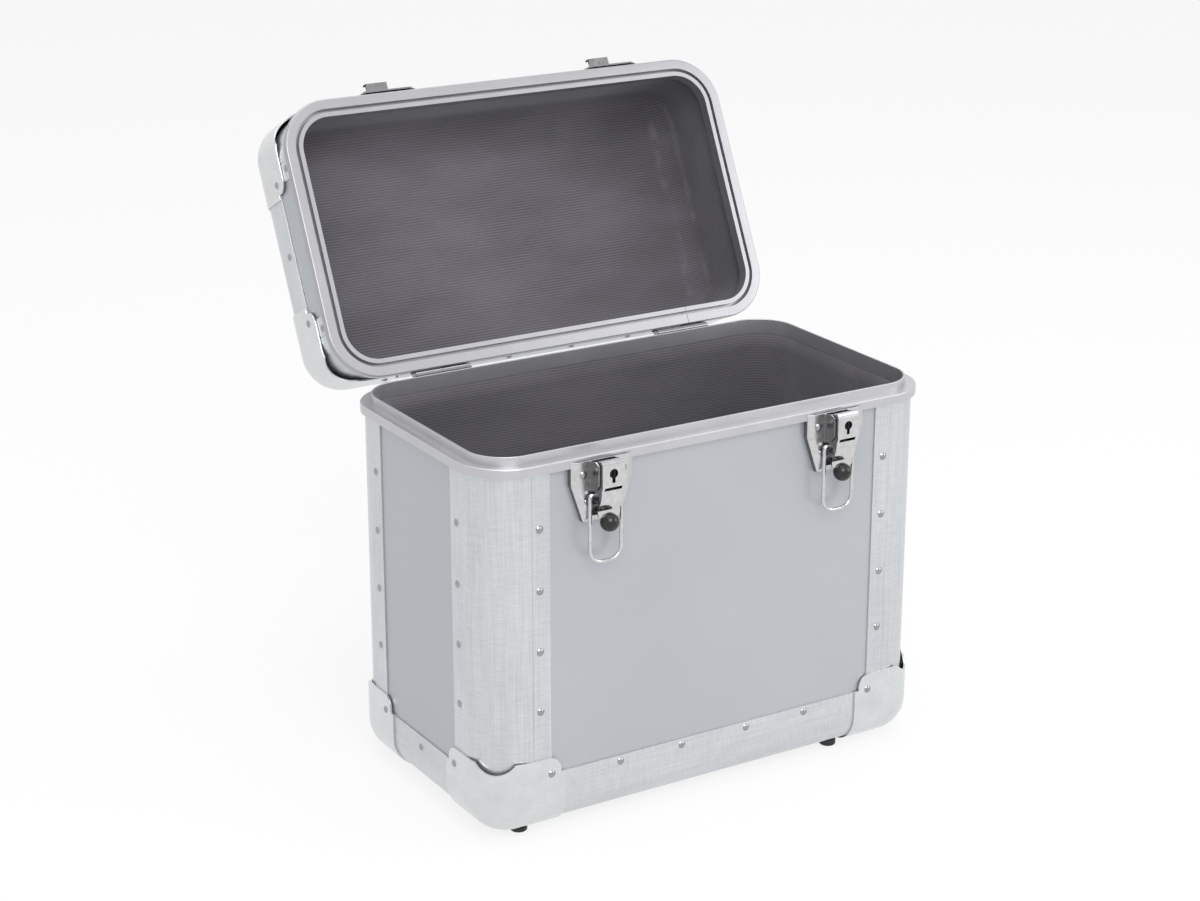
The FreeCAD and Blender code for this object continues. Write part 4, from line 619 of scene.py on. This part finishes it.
def unrolled(point, normal, ends_follow):
    """Where a point of the lining lies on its flat cloth: along the ribs, and across them."""
    end_wall = abs(normal.x) > abs(normal.y) and abs(normal.x) > END_FROM
    if end_wall and ends_follow:
        return point.z, point.y
    if end_wall:
        return point.y, point.z
    if abs(normal.z) > LEVEL_FROM:
        return point.x, point.y
    return point.x, point.z


def unroll(bm, ends_follow):
    """Lay the weave on the cloth, with upright ribs on the end walls if they follow the depth."""
    flat = bm.loops.layers.uv.new("cloth")
    for face in bm.faces:
        for loop in face.loops:
            loop[flat].uv = unrolled(loop.vert.co, face.normal, ends_follow)


def paint_fold_highlights(bm):
    """Mark the two lines of painted highlight along each end wall's fold."""
    rub = bm.verts.layers.float.new("rub")
    for vert in bm.verts:
        tilt = math.degrees(math.acos(max(-1.0, min(1.0, abs(vert.normal.z)))))
        ends = abs(vert.normal.x) > abs(vert.normal.y)
        vert[rub] = float(ends and any(abs(tilt - highlight_tilt) < HIGHLIGHT_HALF for highlight_tilt in HIGHLIGHT_TILTS))


def pucker(bm, mouth):
    """Stand the cloth off the walls by its thickness, and by low puckers away from the mouth."""
    for vert in bm.verts:
        broad = noise.noise(vert.co * PUCKERS)
        fine = noise.noise(vert.co * PUCKERS * FINE_PUCKERS)
        lift = 0.5 + 0.5 * broad + 0.25 * fine
        away = min(1.0, abs(vert.co.z - mouth) / PUCKER_FADE)
        vert.co += vert.normal * (shape().cloth + shape().pucker * lift * away)


def lining(half, body):
    """The cloth over the walls and floor of one half, round along its inner edges."""
    lid = half == "lid"
    source = copied(half + "_lining")
    if lid:
        bmesh.ops.transform(source, matrix=LID_CLOSED, verts=source.verts)
    box = bounds_of(source)
    source.free()
    size = Vector(high - low for low, high in box)
    middle = Vector((high + low) / 2 for low, high in box)
    mouth, floor = box[2] if lid else reversed(box[2])
    bm = lined_box(size, middle, floor, mouth)
    unroll(bm, lid)
    paint_fold_highlights(bm)
    pucker(bm, mouth)
    if lid:
        bmesh.ops.transform(bm, matrix=LID_OPEN, verts=bm.verts)
    finish_name = "textile_lid" if lid else "textile"
    cloth = piece(half + "_lining_cloth", bm, finish_name, body, CLOTH_SMOOTH)
    thick = cloth.modifiers.new("thickness", "SOLIDIFY")
    thick.thickness = shape().cloth * CLOTH_FILL
    thick.offset = -1
    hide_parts(half + "_lining")


# Operators, one for each piece or group of like pieces


class CASE_OT_panels(bpy.types.Operator):
    """Face the ten panels with satin laminate"""

    bl_idname = "case.panels"
    bl_label = "Panels"

    def execute(self, context):
        for half, flat in (("body", "bottom"), ("lid", "top")):
            for wall in (*WALLS, flat):
                wear(NODES["%s_%s_panel" % (half, wall)], "board_lid" if half == "lid" else "board")
        return {"FINISHED"}


class CASE_OT_extrusions(bpy.types.Operator):
    """Brush the corner and edge extrusions along their length and round their edges"""

    bl_idname = "case.extrusions"
    bl_label = "Extrusions"

    def execute(self, context):
        edge = shape().extruded_edge
        for half, body in HALVES:
            tail = "_lid" if half == "lid" else ""
            for corner in CORNERS:
                node = "%s_%s_profile" % (half, corner)
                softened(node, body, "brushed_z" + tail, edge)
            for wall in WALLS:
                node = "%s_%s_edge_profile" % (half, wall)
                along = "x" if wall in ("front", "back") else "y"
                softened(node, body, "brushed_" + along + tail, edge)
        return {"FINISHED"}


class CASE_OT_caps(bpy.types.Operator):
    """Polish the eight pressed corner caps and round their edges"""

    bl_idname = "case.caps"
    bl_label = "Caps"

    def execute(self, context):
        for half, body in HALVES:
            for corner in CORNERS:
                node = "%s_%s_cap" % (half, corner)
                softened(node, body, "cap", shape().cap_edge)
        return {"FINISHED"}


class CASE_OT_rims(bpy.types.Operator):
    """Give both rims their satin finish, with the butt joint of the lid's rim beside a hinge"""

    bl_idname = "case.rims"
    bl_label = "Rims"

    def execute(self, context):
        for half, body in HALVES:
            bm = copied(half + "_rim")
            if half == "lid":
                butt_joint(bm)
            satin = "rim_lid" if half == "lid" else "rim"
            rim = piece(half + "_rim_satin", bm, satin, body, RIM_SMOOTH)
            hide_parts(half + "_rim")
        return {"FINISHED"}


def butt_joint(bm):
    """Part the rim on its hinge side, where the ends of the bent extrusion meet."""

    def behind(face):
        return (LID_CLOSED @ face.calc_center_median()).y > HINGE["pos_m"][1] - BUTT_DEPTH

    def in_gap(face):
        return abs(face.calc_center_median().x - BUTT_PLACE) < BUTT_GAP / 2

    for offset in (-BUTT_GAP / 2, BUTT_GAP / 2):
        faces = [f for f in bm.faces if behind(f)]
        edges = {e for f in faces for e in f.edges}
        verts = {v for f in faces for v in f.verts}
        bmesh.ops.bisect_plane(
            bm,
            geom=faces + list(edges) + list(verts),
            dist=WELD,
            plane_co=(BUTT_PLACE + offset, 0, 0),
            plane_no=(1, 0, 0),
        )
    between = [f for f in bm.faces if behind(f) and in_gap(f)]
    bmesh.ops.delete(bm, geom=between, context="FACES")
    bmesh.ops.holes_fill(bm, edges=[e for e in bm.edges if e.is_boundary], sides=0)


class CASE_OT_linings(bpy.types.Operator):
    """Line both halves with ribbed cloth"""

    bl_idname = "case.linings"
    bl_label = "Linings"

    def execute(self, context):
        for half, body in HALVES:
            lining(half, body)
        return {"FINISHED"}


class CASE_OT_rivets(bpy.types.Operator):
    """Plate the rivets and the pins"""

    bl_idname = "case.rivets"
    bl_label = "Rivets"

    def execute(self, context):
        # painted dark reflection: the rivets and pins wear the darkened plate
        for node in ("body_rivets", "lid_rivets", "latch_pins", "hinge_pins"):
            wear(NODES[node], "rivet")
        return {"FINISHED"}


class CASE_OT_feet(bpy.types.Operator):
    """Make the feet of black rubber"""

    bl_idname = "case.feet"
    bl_label = "Feet"

    def execute(self, context):
        wear(NODES["feet"], "rubber")
        return {"FINISHED"}


class CASE_OT_latches(bpy.types.Operator):
    """Plate the draw latches, with rounded pressings and black lever tips"""

    bl_idname = "case.latches"
    bl_label = "Latches"

    def execute(self, context):
        edge = shape().pressed_edge
        for side in SIDES:
            base, lever = side + "_latch_base", side + "_latch_lever"
            riding = side + "_lever"
            softened(base, "case", "plate_base", edge, LATCH_SMOOTH)
            softened(lever, riding, "plate", edge, LATCH_SMOOTH)
            softened(lever + "_tip", riding, "ball", edge)
            wear(NODES[side + "_latch_bail"], "plate")
            # painted shade: the lock plate seen through the keyhole is near black
            wear(NODES[side + "_latch_lock_plate"], "lock")
        return {"FINISHED"}


class CASE_OT_catches(bpy.types.Operator):
    """Plate the catches on the lid"""

    bl_idname = "case.catches"
    bl_label = "Catches"

    def execute(self, context):
        for side in SIDES:
            # painted shade: the catches wear the darkened copy of the plate
            softened(side + "_catch", "lid", "plate_dull", shape().pressed_edge)
        return {"FINISHED"}


class CASE_OT_hinges(bpy.types.Operator):
    """Plate the hinge leaves"""

    bl_idname = "case.hinges"
    bl_label = "Hinges"

    def execute(self, context):
        edge = shape().pressed_edge
        # painted shade: the hinge leaves wear the darkened copy of the plate
        softened("hinge_body_leaves", "case", "plate_dull", edge)
        softened("hinge_lid_leaves", "lid", "plate_dull", edge)
        return {"FINISHED"}


class CASE_OT_handle(bpy.types.Operator):
    """Finish the handle: plated rod and brackets, and a ribbed black grip"""

    bl_idname = "case.handle"
    bl_label = "Handle"

    def execute(self, context):
        softened("handle_brackets", "lid", "plate", shape().pressed_edge)
        wear(NODES["handle_rod"], "plate")
        ribbed_grip()
        return {"FINISHED"}


def grip_outline(half, radius):
    """Points of half the grip's section, as places along it and distances from its axis."""
    turns = [math.radians(degrees) for degrees in GRIP_TURNS]
    shoulder = [
        (half - GRIP_ROUND * (1 - math.cos(turn)), radius - GRIP_ROUND * (1 - math.sin(turn)))
        for turn in turns
    ]
    end = [(half, GRIP_BORE), (half, radius - GRIP_ROUND), *shoulder]
    pitch = 2 * GRIP_RIBBED * half / GRIP_RIBS
    start = -pitch * GRIP_RIBS / 2
    ribbed = [
        (start + (i + part) * pitch, radius - depth * shape().grip_rib)
        for i in range(GRIP_RIBS)
        for part, depth in RIB_PROFILE
    ]
    return [(-place, distance) for place, distance in end] + ribbed + end[::-1]


def ribbed_grip():
    """A round grip spun about the rod, with shallow ribs between two plain ends."""
    low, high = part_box("handle_grip")
    middle = (low + high) / 2
    outline = grip_outline((high.x - low.x) / 2, (high.z - low.z) / 2)
    bm = bmesh.new()
    verts = [bm.verts.new(middle + Vector((place, 0, distance))) for place, distance in outline]
    edges = [bm.edges.new(pair) for pair in zip(verts, verts[1:] + verts[:1])]
    bmesh.ops.spin(
        bm,
        geom=verts + edges,
        cent=middle,
        axis=(1, 0, 0),
        angle=math.tau,
        steps=GRIP_STEPS,
        use_merge=True,
    )
    bmesh.ops.recalc_face_normals(bm, faces=bm.faces)
    grip = piece("handle_grip_ribbed", bm, "grip", "handle", GRIP_SMOOTH)
    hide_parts("handle_grip")


class CASE_OT_stage(bpy.types.Operator):
    """Lay the floor, set the lamps and stand the camera where the photograph was taken"""

    bl_idname = "case.stage"
    bl_label = "Stage"

    def execute(self, context):
        setting = context.scene.case_stage
        lay_floor(setting)
        for name, place, width in LAMPS:
            hang_lamp(name, Vector(place), width, getattr(setting, name))
        light_sky(setting.sky)
        camera = bpy.data.objects.new("camera", bpy.data.cameras.new("camera"))
        camera.data.lens = setting.lens
        camera.location = setting.camera_place
        camera.rotation_euler = setting.camera_turn
        context.scene.collection.objects.link(camera)
        context.scene.camera = camera
        context.scene.view_settings.view_transform = "Standard"
        return {"FINISHED"}


def hang_lamp(name, place, width, power):
    """A square soft lamp that looks at the case."""
    lamp = bpy.data.lights.new(name, "AREA")
    lamp.shape = "SQUARE"
    lamp.size = width
    lamp.energy = power
    obj = bpy.data.objects.new(name, lamp)
    obj.location = place
    obj.rotation_euler = (AIM - place).to_track_quat("-Z", "Y").to_euler()
    bpy.context.scene.collection.objects.link(obj)


def seen_or_mirrored(tree):
    """1 for rays from the camera, in gloss and through glass, and 0 for rays that light things."""
    path = tree.nodes.new("ShaderNodeLightPath")
    value = path.outputs["Is Camera Ray"]
    for name in ("Is Glossy Ray", "Is Transmission Ray"):
        both = tree.nodes.new("ShaderNodeMath")
        both.operation = "MAXIMUM"
        tree.links.new(value, both.inputs[0])
        tree.links.new(path.outputs[name], both.inputs[1])
        value = both.outputs["Value"]
    return value


def light_sky(strength):
    """An even pale sky that is plain white to the camera and in gloss."""
    world = bpy.data.worlds.new("studio")
    bpy.context.scene.world = world
    world.use_nodes = True
    tree = world.node_tree
    background = tree.nodes["Background"]
    background.inputs["Color"].default_value = WHITE
    level = tree.nodes.new("ShaderNodeMapRange")
    level.inputs["To Min"].default_value = strength
    level.inputs["To Max"].default_value = 1.0
    tree.links.new(seen_or_mirrored(tree), level.inputs["Value"])
    tree.links.new(level.outputs["Result"], background.inputs["Strength"])


def lay_floor(setting):
    """A pale floor under the feet that keeps a faint shadow."""
    bm = bmesh.new()
    bmesh.ops.create_grid(bm, x_segments=1, y_segments=1, size=setting.floor_width / 2)
    mesh = bpy.data.meshes.new("floor")
    bm.to_mesh(mesh)
    bm.free()
    floor = bpy.data.objects.new("floor", mesh)
    bpy.context.scene.collection.objects.link(floor)
    paint = bpy.data.materials.new("floor")
    paint.use_nodes = True
    tree = paint.node_tree
    shader = tree.nodes["Principled BSDF"]
    shader.inputs["Base Color"].default_value = (*setting.floor, 1)
    shader.inputs["Roughness"].default_value = FLOOR_ROUGH
    glow = tree.nodes.new("ShaderNodeEmission")
    glow.inputs["Color"].default_value = WHITE
    blend = tree.nodes.new("ShaderNodeMixShader")
    share = tree.nodes.new("ShaderNodeMath")
    share.operation = "MULTIPLY"
    share.inputs[1].default_value = FLOOR_GLOW
    tree.links.new(seen_or_mirrored(tree), share.inputs[0])
    tree.links.new(share.outputs["Value"], blend.inputs["Fac"])
    tree.links.new(shader.outputs["BSDF"], blend.inputs[1])
    tree.links.new(glow.outputs["Emission"], blend.inputs[2])
    tree.links.new(blend.outputs["Shader"], tree.nodes["Material Output"].inputs["Surface"])
    floor.data.materials.append(paint)


class CASE_PT_maker(bpy.types.Panel):
    """Lists the pieces of the case, its sizes and its colours"""

    bl_idname = "CASE_PT_maker"
    bl_label = "Record Carrying Case"
    bl_space_type = "VIEW_3D"
    bl_region_type = "UI"
    bl_category = "Record Case"

    def draw(self, context):
        scene = context.scene
        for group in (scene.case_shape, scene.case_finish, scene.case_stage):
            box = self.layout.box()
            for name in group.bl_rna.properties.keys():
                if name not in ("rna_type", "name"):
                    box.prop(group, name)
        for operator in OPERATORS:
            self.layout.operator(operator.bl_idname)


GROUPS = (("case_finish", CaseFinish), ("case_shape", CaseShape), ("case_stage", CaseStage))
OPERATORS = (
    CASE_OT_panels,
    CASE_OT_extrusions,
    CASE_OT_caps,
    CASE_OT_rims,
    CASE_OT_linings,
    CASE_OT_rivets,
    CASE_OT_feet,
    CASE_OT_latches,
    CASE_OT_catches,
    CASE_OT_hinges,
    CASE_OT_handle,
    CASE_OT_stage,
)


def register():
    for name, group in GROUPS:
        bpy.utils.register_class(group)
        setattr(bpy.types.Scene, name, bpy.props.PointerProperty(type=group))
    for cls in (*OPERATORS, CASE_PT_maker):
        bpy.utils.register_class(cls)


def unregister():
    for cls in (CASE_PT_maker, *reversed(OPERATORS)):
        bpy.utils.unregister_class(cls)
    for name, group in reversed(GROUPS):
        delattr(bpy.types.Scene, name)
        bpy.utils.unregister_class(group)


def main():
    register()
    for operator in OPERATORS:
        getattr(bpy.ops.case, operator.bl_idname.split(".")[1])()


if __name__ == "__main__":
    main()
